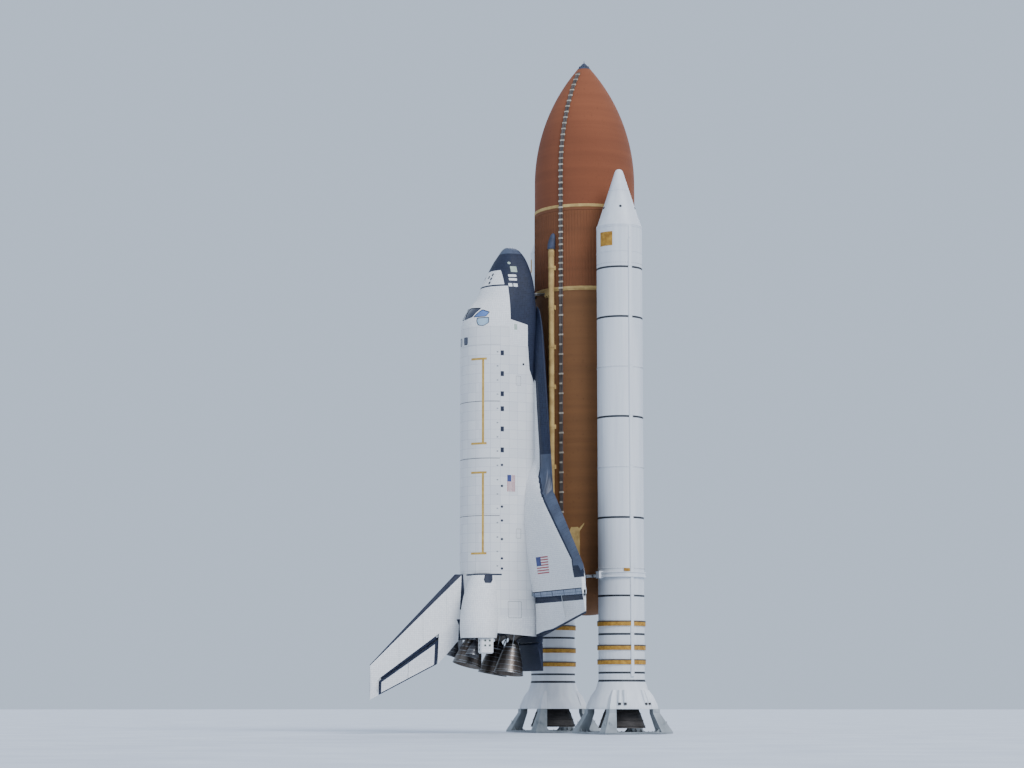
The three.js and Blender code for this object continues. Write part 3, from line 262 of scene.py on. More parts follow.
FINISHES = {
    # Quilted silica-fibre blanket: white cloth in big panels, dull, a little dirty
    "quilted_blanket": finish(
        "quilted_silica_blanket", tiled("#e4e4e2", "#cfd0d2", "#b3b5b9", SHEET_CELL, SHEET_GAP), 0.9,
        bump=seam_bump(4 * INCH, 0.5 * INCH), depth=0.003),
    # White silica tile with a fired glass coat: smoother and a little brighter than the blanket
    "white_tile": finish(
        "coated_white_silica_tile", tiled("#ececea", "#d6d7d9", "#a9abb0", TILE_CELL, TILE_GAP), 0.6,
        bump=TILE_BUMP),
    # Black borosilicate-coated silica tile: blue-black, each tile its own shade
    "black_tile": finish(
        "borosilicate_coated_tile", tiled("#232a3e", "#131825", "#343c4e", TILE_CELL, TILE_GAP), 0.55,
        bump=TILE_BUMP, **{"Specular IOR Level": 0.25}),
    # Reinforced carbon with a silicon carbide skin: slate grey, faintly woven, with a soft sheen
    "carbon": finish(
        "silicon_carbide_coated_carbon", mottled("#4a5468", "#343c4e", 1.4), 0.42,
        bump=grain(60, detail=2), depth=0.001),
    "oxygen_foam": foam("sprayed_foam_upper", "#874d30", "#6e3c24", "#5d331e"),
    "intertank_foam": foam("sprayed_foam_middle", "#855131", "#6a4026", "#593720"),
    "hydrogen_foam": foam("sprayed_foam_lower", "#835834", "#654327", "#543820"),
    # Hand-poured foam over flanges and lines: fresher, so lighter and yellower
    "poured_foam": finish(
        "hand_poured_foam", mottled("#c2a467", "#a28450", 3.0), 0.9,
        bump=grain(30, detail=5), depth=0.004),
    # Dark ablator, sprayed on the fairings: matt and faintly blue
    "ablator": finish("dark_ablator", mottled("#39425a", "#262c3c", 4.0), 0.7, bump=grain(40)),
    # Rolled-on white chlorinated rubber paint over steel and cork, with rain streaks
    "booster_paint": finish(
        "white_rubber_paint", mottled("#dfe2e4", "#ccd0d5", 1.2, (2.4, 2.4, 0.12), 5), 0.55,
        bump=grain(18, (1, 1, 0.4)), depth=0.0015),
    # Black joint heater band
    "black_band": finish("black_rubber_paint", mottled("#2c3036", "#1c1f25", 5.0), 0.6),
    # Cork strips, painted ochre: grainy
    "cork_band": finish(
        "ochre_painted_cork", mottled("#b98b34", "#94691f", 7.0), 0.8,
        bump=grain(55, detail=5), depth=0.003),
    # Nickel alloy tubes, brazed side by side and tinted by heat; the colour is darkened further as painted
    # shade
    "bell_metal": finish(
        "heat_tinted_nickel_with_painted_shade", mottled("#7d766f", "#554b44", 2.0, (1, 1, 0.5)), 0.38, 0.9,
        bump=grain(60, (1, 1, 0.02), 1)),
    # Niobium alloy with a fired silicide coat: dull dark grey
    "small_bell_metal": finish("silicide_coated_niobium", mottled("#6b6a6c", "#4a494c", 6.0), 0.55, 0.5),
    # Machined titanium and steel in the joints
    "bare_metal": finish("machined_titanium", mottled("#a4a6a8", "#85878a", 8.0), 0.35, 0.95),
    # Wound carbon phenolic with a matt black cloth boot
    "phenolic": finish(
        "wound_carbon_phenolic", mottled("#3a3532", "#24211f", 3.0, (1, 1, 6)), 0.7,
        bump=grain(30, (1, 1, 8))),
    # Triple-pane window glass, its colour painted with reflection and shade: dark ahead, blue beside it, and
    # pale at the side
    "shaded_glass": glass("fused_silica_front_pane", "#1f2948", "#141b33"),
    "blue_reflection_glass": glass("fused_silica_middle_pane", "#5f83c0", "#44659f"),
    "pale_glass": glass("fused_silica_side_pane", "#a3bfd2", "#86a6bf"),
    # Woven glass cloth that lines the bay
    "bay_cloth": finish(
        "woven_glass_cloth", tiled("#d9dad6", "#c6c7c3", "#9b9d9c", 24 * INCH, 0.8 * INCH), 0.85,
        bump=seam_bump(3 * INCH, 0.4 * INCH)),
    # Silvered film over the radiators
    "radiator_film": finish(
        "silvered_film", tiled("#b9c0c8", "#99a3b0", "#737c88", 36 * INCH, 0.8 * INCH), 0.22, 0.8),
    # Two-coat epoxy on structural steel, chalky
    "grey_paint": finish(
        "chalky_grey_epoxy", mottled("#9aa0a3", "#777d80", 1.6, (1, 1, 0.5), 6), 0.65,
        bump=grain(22), depth=0.0015),
    # Yellow lacquer on the doors' handling strips, and enamel on the flags
    "yellow_strip": finish("ochre_lacquer", mottled("#c9a347", "#ae8833", 6.0), 0.6),
    "flag_red": finish("red_enamel", mottled("#b04a4c", "#97393f", 6.0), 0.6),
    "flag_blue": finish("blue_enamel", mottled("#39457f", "#2d376a", 6.0), 0.6),
    # Coated paper over the thrusters
    "thruster_cover": finish("coated_paper", mottled("#aebbae", "#8fa092", 8.0), 0.7),
    # Painted shade: near black for what is deep in a gap or a port, and for the flat discs and sheets that
    # stand in for holes and dark insides
    "recess": finish("painted_recess_shade", mottled("#2b2f38", "#1c2028", 8.0), 0.85),
    # Pale studio floor
    "floor": finish("studio_floor", mottled("#c9cfd8", "#bcc3cd", 0.3), 0.9),
    # Painted shadow: a dark ring over the upper flange of each stiffener band
    "flange_shadow_ring": finish("painted_flange_shadow", mottled("#4a4540", "#35312d", 6.0), 0.7),
    # Foam-dusted aluminium of the cable tray, and its paler brackets
    "tray_paint": finish("dusted_aluminium", mottled("#5c5450", "#443d3a", 3.0), 0.7),
    "bracket_paint": finish("pale_ablator", mottled("#bdb5a2", "#9c9382", 6.0), 0.85),
    # Grey silicone-coated seal tiles at the elevon line
    "seal_tile": finish(
        "grey_seal_tile", tiled("#8d97a8", "#6f7a8d", "#3c4352", 12 * INCH, 1.0 * INCH), 0.6),
}


# Shells: points and faces in inches

def around(count):
    """Angles in even steps all the way round."""
    return np.linspace(0, 2 * pi, count, endpoint=False)


def polar(radius, angle, station=0.0):
    """A point round the third axis."""
    return Vector((radius * cos(angle), radius * sin(angle), station))


def grid(rows, caps="fan", loop=False):
    """Quads through rings of points, closed at both ends by caps, or joined last to first."""
    rows = np.asarray(rows, float)
    count, size = rows.shape[:2]
    faces = []
    for r in range(count if loop else count - 1):
        first, second = r * size, (r + 1) % count * size
        for i in range(size):
            j = (i + 1) % size
            faces.append((first + i, first + j, second + j, second + i))
    if caps == "fan" and not loop:
        faces += [tuple(range(size)), tuple(range((count - 1) * size, count * size))]
    if caps == "strip":
        for base in (0, (count - 1) * size):
            faces += [(base + i, base + i + 1, base + size - 2 - i, base + size - 1 - i)
                      for i in range(size // 2 - 1)]
    return rows.reshape(-1, 3).tolist(), faces


def turned(profile, sides=96, loop=False):
    """A shell round the third axis, from (station, radius) pairs."""
    return grid([[polar(r, a, s) for a in around(sides)] for s, r in profile], loop=loop)


def ridge(steps, station, radius, sides=96):
    """A closed ring, from (along, out) steps at a station and radius."""
    return turned([(station + along, radius + out) for along, out in steps], sides, loop=True)


def pointed_out(shell):
    """A shell with its third axis turned to be its first, which repeats point outwards."""
    return [(z, x, y) for x, y, z in shell[0]], shell[1]


def block(low, high):
    """A box between two corners."""
    (a, b, c), (d, e, f) = low, high
    return grid([[(a, b, z), (d, b, z), (d, e, z), (a, e, z)] for z in (c, f)])


def rod(start, end, radius, end_radius=None, sides=24):
    """A round bar or cone between two points."""
    start, end = Vector(start), Vector(end)
    turn = (end - start).to_track_quat("Z", "Y").to_matrix()
    ends = ((start, radius), (end, end_radius or radius))
    return grid([[centre + turn @ polar(r, a) for a in around(sides)] for centre, r in ends])


def aimed(origin, along):
    """The matrix that puts the third axis at an origin, along a direction."""
    return Matrix.Translation(origin) @ Vector(along).to_track_quat("Z", "Y").to_matrix().to_4x4()


def mesh_of(shell):
    mesh = bpy.data.meshes.new("shell")
    mesh.from_pydata(shell[0], [], shell[1])
    return mesh


def evaluated(thing):
    return thing.evaluated_get(bpy.context.evaluated_depsgraph_get())


def drop(thing):
    """Removes an object and its mesh."""
    mesh = thing.data
    bpy.data.objects.remove(thing)
    bpy.data.meshes.remove(mesh)


# Geometry Nodes: a shape repeated at places, and a tube along a path

def tree_of(name, sockets, make):
    """A tree with named inputs, whose result is made real and given its finish."""
    tree = bpy.data.node_groups.new(name, "GeometryNodeTree")
    for label, kind in sockets.items():
        tree.interface.new_socket(label, in_out="INPUT", socket_type="NodeSocket" + kind)
    tree.interface.new_socket("Result", in_out="OUTPUT", socket_type="NodeSocketGeometry")
    start = add(tree, "NodeGroupInput").outputs
    real = add(tree, "GeometryNodeRealizeInstances", (make(tree, start),))
    painted = add(tree, "GeometryNodeSetMaterial", {"Geometry": real, "Material": start["Finish"]})
    add(tree, "NodeGroupOutput", (painted,))
    return tree


def repeat_nodes(tree, start):
    """Puts a shape at each place, turned and stretched by the place's own attributes."""
    shape = add(tree, "GeometryNodeObjectInfo", (start["Shape"],)).outputs["Geometry"]
    turn, stretch = (add(tree, "GeometryNodeInputNamedAttribute", (name,), data_type="FLOAT_VECTOR")
                     for name in ("turn", "stretch"))
    rotation = add(tree, "FunctionNodeEulerToRotation", (turn,))
    return add(tree, "GeometryNodeInstanceOnPoints", {
        "Points": start["Places"], "Instance": shape, "Rotation": rotation, "Scale": stretch})


def tube_nodes(tree, start):
    """Sweeps a round tube along a path."""
    path = add(tree, "GeometryNodeMeshToCurve", (start["Path"],))
    circle = add(tree, "GeometryNodeCurvePrimitiveCircle", {
        "Resolution": start["Sides"], "Radius": start["Radius"]})
    return add(tree, "GeometryNodeCurveToMesh", {
        "Curve": path, "Profile Curve": circle, "Fill Caps": True})


BEND_STEPS = 6
REPEAT = tree_of("repeat_shape", {
    "Places": "Geometry", "Shape": "Object", "Finish": "Material"}, repeat_nodes)
TUBE = tree_of("swept_tube", {
    "Path": "Geometry", "Radius": "Float", "Sides": "Int", "Finish": "Material"}, tube_nodes)


def grown(tree, mesh, values):
    """The mesh that a tree makes of a mesh and its named inputs."""
    thing = placed("grown", mesh)
    modifier = thing.modifiers.new("grow", "NODES")
    modifier.node_group = tree
    for socket in tree.interface.items_tree:
        if socket.in_out == "INPUT" and socket.name in values:
            modifier[socket.identifier] = values[socket.name]
    result = bpy.data.meshes.new_from_object(evaluated(thing))
    result.materials.clear()
    thing.modifiers.clear()
    drop(thing)
    return result


def turn_to(out):
    """Euler angles that put the first axis along out and the third as near up as it goes."""
    x, up = Vector(out).normalized(), Vector((0, 0, 1))
    z = (up - x * up.dot(x)).normalized() if abs(x.dot(up)) < 0.999 else x.orthogonal()
    return tuple(Matrix((x, z.cross(x), z)).transposed().to_euler())


def repeated(shell, places, finish_name):
    """A shell at each of some places: a point, the direction of its first axis, and a stretch."""
    shape = placed("shape", mesh_of(shell))
    mesh = bpy.data.meshes.new("places")
    mesh.from_pydata([tuple(p[0]) for p in places], [], [])
    for name, values in (
        ("turn", [turn_to(p[1]) for p in places]),
        ("stretch", [p[2] if len(p) > 2 else (1, 1, 1) for p in places]),
    ):
        attribute = mesh.attributes.new(name, "FLOAT_VECTOR", "POINT")
        attribute.data.foreach_set("vector", np.asarray(values, float).ravel())
    result = grown(REPEAT, mesh, {"Shape": shape, "Finish": FINISHES[finish_name]})
    drop(shape)
    return result


def rounded_path(corners, radius):
    """A path with each inner corner rounded off."""
    corners = [Vector(c) for c in corners]
    path = [corners[0]]
    for before, at, after in zip(corners, corners[1:], corners[2:]):
        reach = min(radius, (before - at).length / 2, (after - at).length / 2)
        start, end = (at + (other - at).normalized() * reach for other in (before, after))
        path += [start.lerp(at, t).lerp(at.lerp(end, t), t) for t in np.linspace(0, 1, BEND_STEPS)]
    return [*path, corners[-1]]


# Pieces

SHARP_ANGLE = 32


class Piece:
    """One mesh while it is made, in inches in its own group's frame."""

    def __init__(self, name, slot, place, body="stack"):
        self.name, self.slot, self.place, self.body = name, slot, place, body
        self.bm = bmesh.new()
        self.finishes = []

    def index(self, finish_name):
        if finish_name not in self.finishes:
            self.finishes.append(finish_name)
        return self.finishes.index(finish_name)

    def add(self, shell, finish_name, place=None):
        """Adds a closed shell or a ready mesh, its faces turned outwards."""
        mesh = mesh_of(shell) if isinstance(shell, tuple) else shell
        part = bmesh.new()
        part.from_mesh(mesh)
        if place:
            part.transform(place)
        bmesh.ops.remove_doubles(part, verts=part.verts, dist=1e-4)
        bmesh.ops.recalc_face_normals(part, faces=part.faces)
        number = self.index(finish_name)
        for face in part.faces:
            face.material_index = number
            face.smooth = True
        part.to_mesh(mesh)
        part.free()
        self.bm.from_mesh(mesh)
        bpy.data.meshes.remove(mesh)
        return self

    def pair(self, shell, finish_name):
        """Adds a shell to starboard and its mirror image to port."""
        self.add(shell, finish_name)
        self.add(shell, finish_name, MIRROR)

    def repeat(self, shell, places, finish_name):
        self.add(repeated(shell, places, finish_name), finish_name)

    def tube(self, points, radius, finish_name, sides, place=None):
        mesh = bpy.data.meshes.new("path")
        mesh.from_pydata([tuple(p) for p in points], [(i, i + 1) for i in range(len(points) - 1)], [])
        values = {"Radius": radius, "Sides": sides, "Finish": FINISHES[finish_name]}
        self.add(grown(TUBE, mesh, values), finish_name, place)

    def copy_node(self, node, finish_name):
        """Starts from a merged copy of a CAD node."""
        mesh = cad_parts[node].data.copy()
        mesh.materials.clear()
        return self.add(mesh, finish_name, self.place.inverted())

    def copy(self, name, slot, place, body):
        """A copy as it stands now."""
        other = Piece(name, slot, place, body)
        other.bm, other.finishes = self.bm.copy(), list(self.finishes)
        return other

    def cut(self, shell, finish_name, operation="DIFFERENCE"):
        """Takes a closed shell away; the faces that it leaves have a finish of their own."""
        number = self.index(finish_name)
        tool = Piece("tool", None, None).add(shell, finish_name)
        for face in tool.bm.faces:
            face.material_index = number
        made = []
        for source in (self.bm, tool.bm):
            mesh = bpy.data.meshes.new("cut")
            source.to_mesh(mesh)
            for _ in self.finishes:
                mesh.materials.append(None)
            made.append(placed("cut", mesh))
        modifier = made[0].modifiers.new("cut", "BOOLEAN")
        modifier.object, modifier.operation, modifier.solver = made[1], operation, "EXACT"
        result = evaluated(made[0]).to_mesh()
        self.bm.free()
        self.bm = bmesh.new()
        self.bm.from_mesh(result)
        for thing in made:
            drop(thing)

    def paint(self, finish_name, rule):
        """Gives a finish to the faces whose centre and normal pass a rule."""
        number = self.index(finish_name)
        for face in self.bm.faces:
            if rule(face.calc_center_median(), face.normal):
                face.material_index = number

    def zone(self, finish_name, outline, axes=(0, 2), where=lambda centre, normal: True):
        """Cuts the skin along an outline in the plane of two axes, and paints what is inside."""
        number = self.index(finish_name)
        low, high = (np.array(outline, float).min(0), np.array(outline, float).max(0))
        near = []
        for face in self.bm.faces:
            spans = [[v.co[axis] for v in face.verts] for axis in axes]
            if all(min(s) < high[k] and max(s) > low[k] for k, s in enumerate(spans)):
                if where(face.calc_center_median(), face.normal):
                    near.append(face)
        for (a, b), (c, d) in zip(outline, [*outline[1:], outline[0]]):
            point, normal = Vector(), Vector()
            point[axes[0]], point[axes[1]] = a, b
            normal[axes[0]], normal[axes[1]] = d - b, a - c
            parts = set(near)
            for face in near:
                parts.update(face.edges)
                parts.update(face.verts)
            made = bmesh.ops.bisect_plane(
                self.bm, geom=list(parts), plane_co=point, plane_no=normal, dist=1e-4)
            near = [part for part in made["geom"] if isinstance(part, bmesh.types.BMFace)]
        for face in near:
            centre = face.calc_center_median()
            if inside(outline, centre[axes[0]], centre[axes[1]]):
                face.material_index = number

    def done(self, node):
        """Makes the object, hangs it on what it rides on, gives it its finishes, and hides the CAD node that
        it stands for.
        """
        self.bm.transform(self.place)
        if self.place.determinant() < 0:
            bmesh.ops.reverse_faces(self.bm, faces=self.bm.faces)
        for face in self.bm.faces:
            face.smooth = True
        mesh = bpy.data.meshes.new(self.name)
        self.bm.to_mesh(mesh)
        self.bm.free()
        for name in self.finishes:
            mesh.materials.append(FINISHES[name])
        mesh.set_sharp_from_angle(angle=radians(SHARP_ANGLE))
        thing = placed(self.name, mesh)
        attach(thing, self.body)
        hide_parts(node)

    def done_both(self, node):
        """Makes the starboard piece and its mirror image to port."""
        name, body = (text.replace("right", "left") for text in (self.name, self.body))
        left = self.copy(name, self.slot, self.place @ MIRROR, body)
        self.done(f"{node}_right")
        left.done(f"{node}_left")


def copy_of(name, node, slot, place, body, finish_name):
    """A piece with a CAD node's own shape."""
    Piece(name, slot, place, body).copy_node(node, finish_name).done(node)


def inside(outline, a, b):
    """Whether a point is inside an outline."""
    within = False
    for (a0, b0), (a1, b1) in zip(outline, [*outline[1:], outline[0]]):
        if (b0 > b) != (b1 > b) and a < (a1 - a0) * (b - b0) / (b1 - b0) + a0:
            within = not within
    return within


def smooth_rows(table, places):
    """A table's rows at places between its first column's, on lines that don't overshoot."""
    table = np.asarray(table, float)
    x, y = table[:, 0], table[:, 1:]
    step = np.diff(x)[:, None]
    slope = np.diff(y, axis=0) / step
    tangent = np.vstack([slope[:1], np.zeros_like(slope[1:]), slope[-1:]])
    same = slope[1:] * slope[:-1] > 0
    total = np.where(same, slope[1:] + slope[:-1], 1)
    tangent[1:-1] = np.where(same, 2 * slope[1:] * slope[:-1] / total, 0)
    places = np.clip(np.asarray(places, float), x[0], x[-1])
    i = np.clip(np.searchsorted(x, places, side="right") - 1, 0, len(x) - 2)
    t = ((places - x[i]) / step[i, 0])[:, None]
    h = step[i]
    return ((1 + 2 * t) * (1 - t) ** 2 * y[i] + t * (1 - t) ** 2 * h * tangent[i]
            + t * t * (3 - 2 * t) * y[i + 1] + t * t * (t - 1) * h * tangent[i + 1])


def even(points, count, closed=False):
    """A line of points laid out again in even steps."""
    points = np.asarray(points, float)
    along = np.concatenate([[0], np.cumsum(np.linalg.norm(np.diff(points, axis=0), axis=1))])
    steps = np.linspace(0, along[-1], count, endpoint=not closed)
    return np.stack([np.interp(steps, along, points[:, k]) for k in range(points.shape[1])], 1)


# Outlines, and what is laid on a surface inside them

CORNER_STEPS, SIDE_STEPS = 5, 7
LENS_SHARES = (0.02, 0.35, 0.7, 1.0)
OUTLINE_POINTS = 60


def rect(a0, b0, a1, b1):
    return [(a0, b0), (a0, b1), (a1, b1), (a1, b0)]


def rounded_box(a0, b0, a1, b1, radius):
    """A rectangle's outline with round corners, and points along its sides."""
    left, right, bottom, top = a0 + radius, a1 - radius, b0 + radius, b1 - radius
    arcs = []
    for i, (a, b) in enumerate(((right, top), (left, top), (left, bottom), (right, bottom))):
        turn = np.radians(np.linspace(90 * i, 90 * i + 90, CORNER_STEPS))
        arcs.append([(a + radius * cos(t), b + radius * sin(t)) for t in turn])
    outline = []
    for arc, after in zip(arcs, [*arcs[1:], arcs[0]]):
        outline += [*arc, *map(tuple, np.linspace(arc[-1], after[0], SIDE_STEPS + 2)[1:-1])]
    return outline


def round_outline(centre, radius):
    """A circle with as many points as a rounded box."""
    turns = np.radians(np.arange(0, 360, 90 / (CORNER_STEPS + SIDE_STEPS)))
    return [(centre[0] + radius * cos(a), centre[1] + radius * sin(a)) for a in turns]


def soft_outline(corners, grow=0.0, radius=4):
    """A polygon's outline moved out by grow, its corners rounded, in even steps."""
    corners = [Vector(c) for c in corners]
    middle = sum(corners, Vector((0, 0))) / len(corners)
    normals = []
    for start, end in zip(corners, [*corners[1:], corners[0]]):
        normal = Vector((end.y - start.y, start.x - end.x)).normalized()
        normals.append(normal if normal.dot(start - middle) > 0 else -normal)
    before = [normals[-1], *normals]
    moved = [c + (a + b) * grow / (1 + a.dot(b)) for c, a, b in zip(corners, before, normals)]
    halfway = (moved[-1] + moved[0]) / 2
    path = rounded_path([(*p, 0) for p in (halfway, *moved, halfway)], radius)
    return even([p[:2] for p in path], OUTLINE_POINTS + 1)[:-1]


def lens(outline, place, high, low=-0.5):
    """A plate inside an outline, laid on a surface by place(a, b, grow)."""
    middle = np.mean(outline, axis=0)
    loops = [[middle + (np.array(p) - middle) * share for p in outline] for share in LENS_SHARES]
    rows = [[place(a, b, high) for a, b in loop] for loop in loops]
    rows += [[place(a, b, low) for a, b in loop] for loop in reversed(loops)]
    return grid(rows)


def rim(outer, inner, place, high, low=-0.5):
    """A flat ring between two outlines, laid on a surface."""
    return grid([[place(a, b, grow) for a, b in outline] for outline, grow in (
        (outer, low), (outer, high), (inner, high), (inner, low))], loop=True)


# Orbiter hull

# Columns: station, half width, height of the top, of the widest line and of the belly
HULL = [
    (238, 6, 345, 339, 333), (242, 16, 355, 339, 322), (250, 26, 364, 339, 312),
    (264, 37, 373, 339, 303), (290, 52, 390, 340, 292), (330, 70, 411, 343, 283),
    (368, 83, 430, 350, 278), (418, 94, 452, 360, 276), (445, 98, 474, 368, 275),
    (476, 101, 494, 377, 274), (510, 103, 500, 386, 273), (545, 104, 502, 393, 272),
    (576, 104, 502, 398, 271), (1307, 104, 502, 398, 271), (1400, 108, 500, 398, 271),
    (1508, 112.4, 496, 398, 272),
]
SQUARENESS = 6
NOSE_END, BAY_START, BAY_END, BASE = 264, 576, 1307, 1508
SEAM = 0.04
RING_POINTS = 160


def hull_points(station, angles, grow=0.0):
    """Points of the skin at angles up from the starboard side, moved out by grow."""
    width, top, middle, belly = smooth_rows(HULL, [station])[0]
    c, s = np.cos(angles), np.sin(angles)
    power = 2 / SQUARENESS
    y = np.where(s >= 0, (width + grow) * c, (width + grow) * np.sign(c) * np.abs(c) ** power)
    z = np.where(s >= 0, middle + (top - middle + grow) * s,
                 middle - (middle - belly + grow) * np.abs(s) ** power)
    return np.stack([np.full(len(angles), float(station)), y, z], 1)


def hull_ring(station, grow=0.0):
    """The skin's section in even steps."""
    return even(hull_points(station, np.linspace(0, 2 * pi, 1440), grow), RING_POINTS, closed=True)


def hull(start, end, step=5.0, grow=0.0):
    stations = np.linspace(start, end, max(2, int((end - start) / step) + 1))
    return grid([hull_ring(s, grow) for s in stations])


def hull_strip(stations, turn, high, low):
    """Rows of a plate on the skin, between two depths and over some angles."""
    return [np.vstack([hull_points(s, turn, high), hull_points(s, turn, low)[::-1]]) for s in stations]


def hull_side(station, height, grow=0.0):
    """How far to starboard the skin is at a station and height."""
    width, top, middle, belly = smooth_rows(HULL, [station])[0]
    if height >= middle:
        return (width + grow) * sqrt(max(0, 1 - ((height - middle) / (top - middle)) ** 2))
    share = min(1, (middle - height) / (middle - belly))
    return (width + grow) * (1 - share ** SQUARENESS) ** (1 / SQUARENESS)


def on_roof(station, out, grow):
    """A place on the hull by station and inches of arc up from the widest line."""
    return hull_points(station, np.array([out / 100]), grow)[0]


def on_side(station, height, grow):
    return (station, hull_side(station, height, grow), height)


def on_port(station, height, grow):
    return (station, -hull_side(station, height, grow), height)


def across(station, height, out):
    """A place in the plane of station and height, some way to starboard."""
    return (station, out, height)


# Tank

TANK_RADIUS = 165.5
TANK_STEPS = 144
CAP_END, OGIVE_END, OGIVE_RADIUS = 354, 747, 613
OXYGEN_END, INTERTANK_END, BARREL_END, DOME_DEPTH = 852.8, 1123.15, 2058, 115
STRINGERS = 108
PROUD = 1.1  # of the flanges and stringers, inside the solid's own 1.2
FEED_ANGLE, FEED_RADIUS, FEED_STANDOFF = 26, 9.3, 13
FEED_TOP, FEED_BEND, FEED_FOOT = 985, 1998, (62, -190, 2044)
FAIRING_LENGTH, FAIRING_RADIUS = 56, 12.6
FEED_STANDS = (1050, 1180, 1310, 1440, 1570, 1700, 1830, 1940)
TRAY_ANGLE, TRAY_TOP, TRAY_END = 36, 372, 2030
BIPOD_STATION, BIPOD_OUT = 1133, 46
AFT_BALL_OUT, AFT_BALL_DEPTH = 88, -190


def ogive(station):
    """The tank's radius at a station."""
    if station >= OGIVE_END:
        return TANK_RADIUS
    return sqrt(OGIVE_RADIUS ** 2 - (OGIVE_END - station) ** 2) + TANK_RADIUS - OGIVE_RADIUS


def out_of_tank(angle):
    """The way out at an angle to starboard from the orbiter's side."""
    return Vector((sin(radians(angle)), -cos(radians(angle)), 0))


def on_tank(station, angle, grow=0.0, aside=0.0):
    along = out_of_tank(angle + 90)
    return out_of_tank(angle) * (ogive(station) + grow) + along * aside + Vector((0, 0, station))


def tank_place(station, angle):
    return on_tank(station, angle), out_of_tank(angle)


def flange(piece, start, end, finish_name):
    """A low ring round the tank, with sloping edges."""
    wide, edge = end - start, 1.5
    steps = [(0, -2), (0, -0.3), (edge, PROUD), (wide - edge, PROUD), (wide, -0.3), (wide, -2)]
    piece.add(ridge(steps, start, TANK_RADIUS), finish_name)


def make_tank_cap():
    cap = Piece("nose_fairing", "dark_cone", TANK)
    base = ogive(CAP_END)
    cap.add(turned([(322.5, 0), (323.2, 0.7), (331, 1.3), (332, 3.4), (334, 6.2), (340, 11.5),
                    (CAP_END - 1.5, base - 0.6), (CAP_END, base - 0.2), (CAP_END, 0)]), "ablator")
    # Dark blocks at the louvres: painted shade for their openings
    louvres = [tank_place(346, a) for a in range(0, 360, 30)]
    cap.repeat(block((-1.2, -1.5, -3), (1.0, 1.5, 3)), louvres, "recess")
    cap.done("tank_cap")


def make_oxygen_tank():
    tank = Piece("oxygen_tank_foam", "orange_foam", TANK)
    curve = [(s, ogive(s)) for s in np.linspace(CAP_END, OGIVE_END, 64)]
    profile = [(CAP_END, 0), *curve, (OXYGEN_END, TANK_RADIUS), (OXYGEN_END, 0)]
    tank.add(turned(profile, TANK_STEPS), "oxygen_foam")
    flange(tank, OXYGEN_END - 11, OXYGEN_END, "poured_foam")
    tank.done("oxygen_tank")


def make_intertank():
    tank = Piece("intertank_foam", "orange_foam", TANK)
    radius = TANK_RADIUS - 0.1
    profile = [(OXYGEN_END, 0), (OXYGEN_END, radius), (INTERTANK_END, radius), (INTERTANK_END, 0)]
    tank.add(turned(profile, TANK_STEPS), "intertank_foam")
    half = (INTERTANK_END - OXYGEN_END) / 2 - 11
    rib = grid([[(-0.6, -2.2, z), (PROUD, -1.3, z), (PROUD, 1.3, z), (-0.6, 2.2, z)] for z in (-half, half)])
    centre = (OXYGEN_END + INTERTANK_END) / 2
    places = [tank_place(centre, a) for a in np.linspace(0, 360, STRINGERS, False)]
    tank.repeat(rib, places, "intertank_foam")
    flange(tank, OXYGEN_END, OXYGEN_END + 10, "intertank_foam")
    flange(tank, INTERTANK_END - 10, INTERTANK_END, "poured_foam")
    tank.done("intertank")


def make_hydrogen_tank():
    tank = Piece("hydrogen_tank_foam", "orange_foam", TANK)
    dome = [(BARREL_END + DOME_DEPTH * sin(a), TANK_RADIUS * cos(a)) for a in np.linspace(0, pi / 2, 24)]
    tank.add(turned([(INTERTANK_END, 0), (INTERTANK_END, TANK_RADIUS), *dome], TANK_STEPS), "hydrogen_foam")
    for station in (1377, 1623, 1869, BARREL_END):
        tank.add(ridge([(-3, -1), (0, 0.5), (3, -1)], station, TANK_RADIUS, TANK_STEPS), "hydrogen_foam")
    steps = [(0, -2), (0, PROUD), (3, PROUD), (5, -2)]
    tank.add(ridge(steps, INTERTANK_END, TANK_RADIUS, TANK_STEPS), "poured_foam")
    tank.done("hydrogen_tank")


def feed_collar(half, proud):
    """A ring round the feedline."""
    return ridge([(-half, -1), (-half, proud), (half, proud), (half, -1)], 0, FEED_RADIUS, 32)


def feed_places(stations, out=(1, 0, 0)):
    return [(on_tank(s, FEED_ANGLE, FEED_STANDOFF), out) for s in stations]


def feed_fairing():
    """The dark cone over the line's upper end."""
    rows = []
    for share in np.linspace(0, 1, 14):
        radius = FAIRING_RADIUS * sqrt(max(0, 1 - (1 - share) ** 2.2))
        station = FEED_TOP + 4 - FAIRING_LENGTH * (1 - share)
        centre = on_tank(station, FEED_ANGLE, 2 + (FEED_STANDOFF - 2) * sin(share * pi / 2))
        rows.append([centre + polar(radius, a) for a in around(36)])
    return grid(rows)


def make_feedline():
    line = Piece("oxygen_feedline_pipe", "tan_foam", TANK)
    corners = [*(p for p, _ in feed_places((FEED_TOP, FEED_BEND))), FEED_FOOT]
    line.tube(rounded_path(corners, 30), FEED_RADIUS, "poured_foam", 32)
    bellows = [start + 3 * i for start in (FEED_TOP + 12, FEED_BEND - 46) for i in range(6)]
    line.repeat(feed_collar(1, 0.9), feed_places(bellows), "poured_foam")
    foot = grid([[(-15, -9, z), (-4, -5, z), (-4, 5, z), (-15, 9, z)] for z in (-7, 7)])
    line.repeat(foot, feed_places(FEED_STANDS, out_of_tank(FEED_ANGLE)), "poured_foam")
    line.repeat(feed_collar(3, 1.1), feed_places(FEED_STANDS), "poured_foam")
    line.add(feed_fairing(), "ablator")
    line.done("oxygen_feedline")


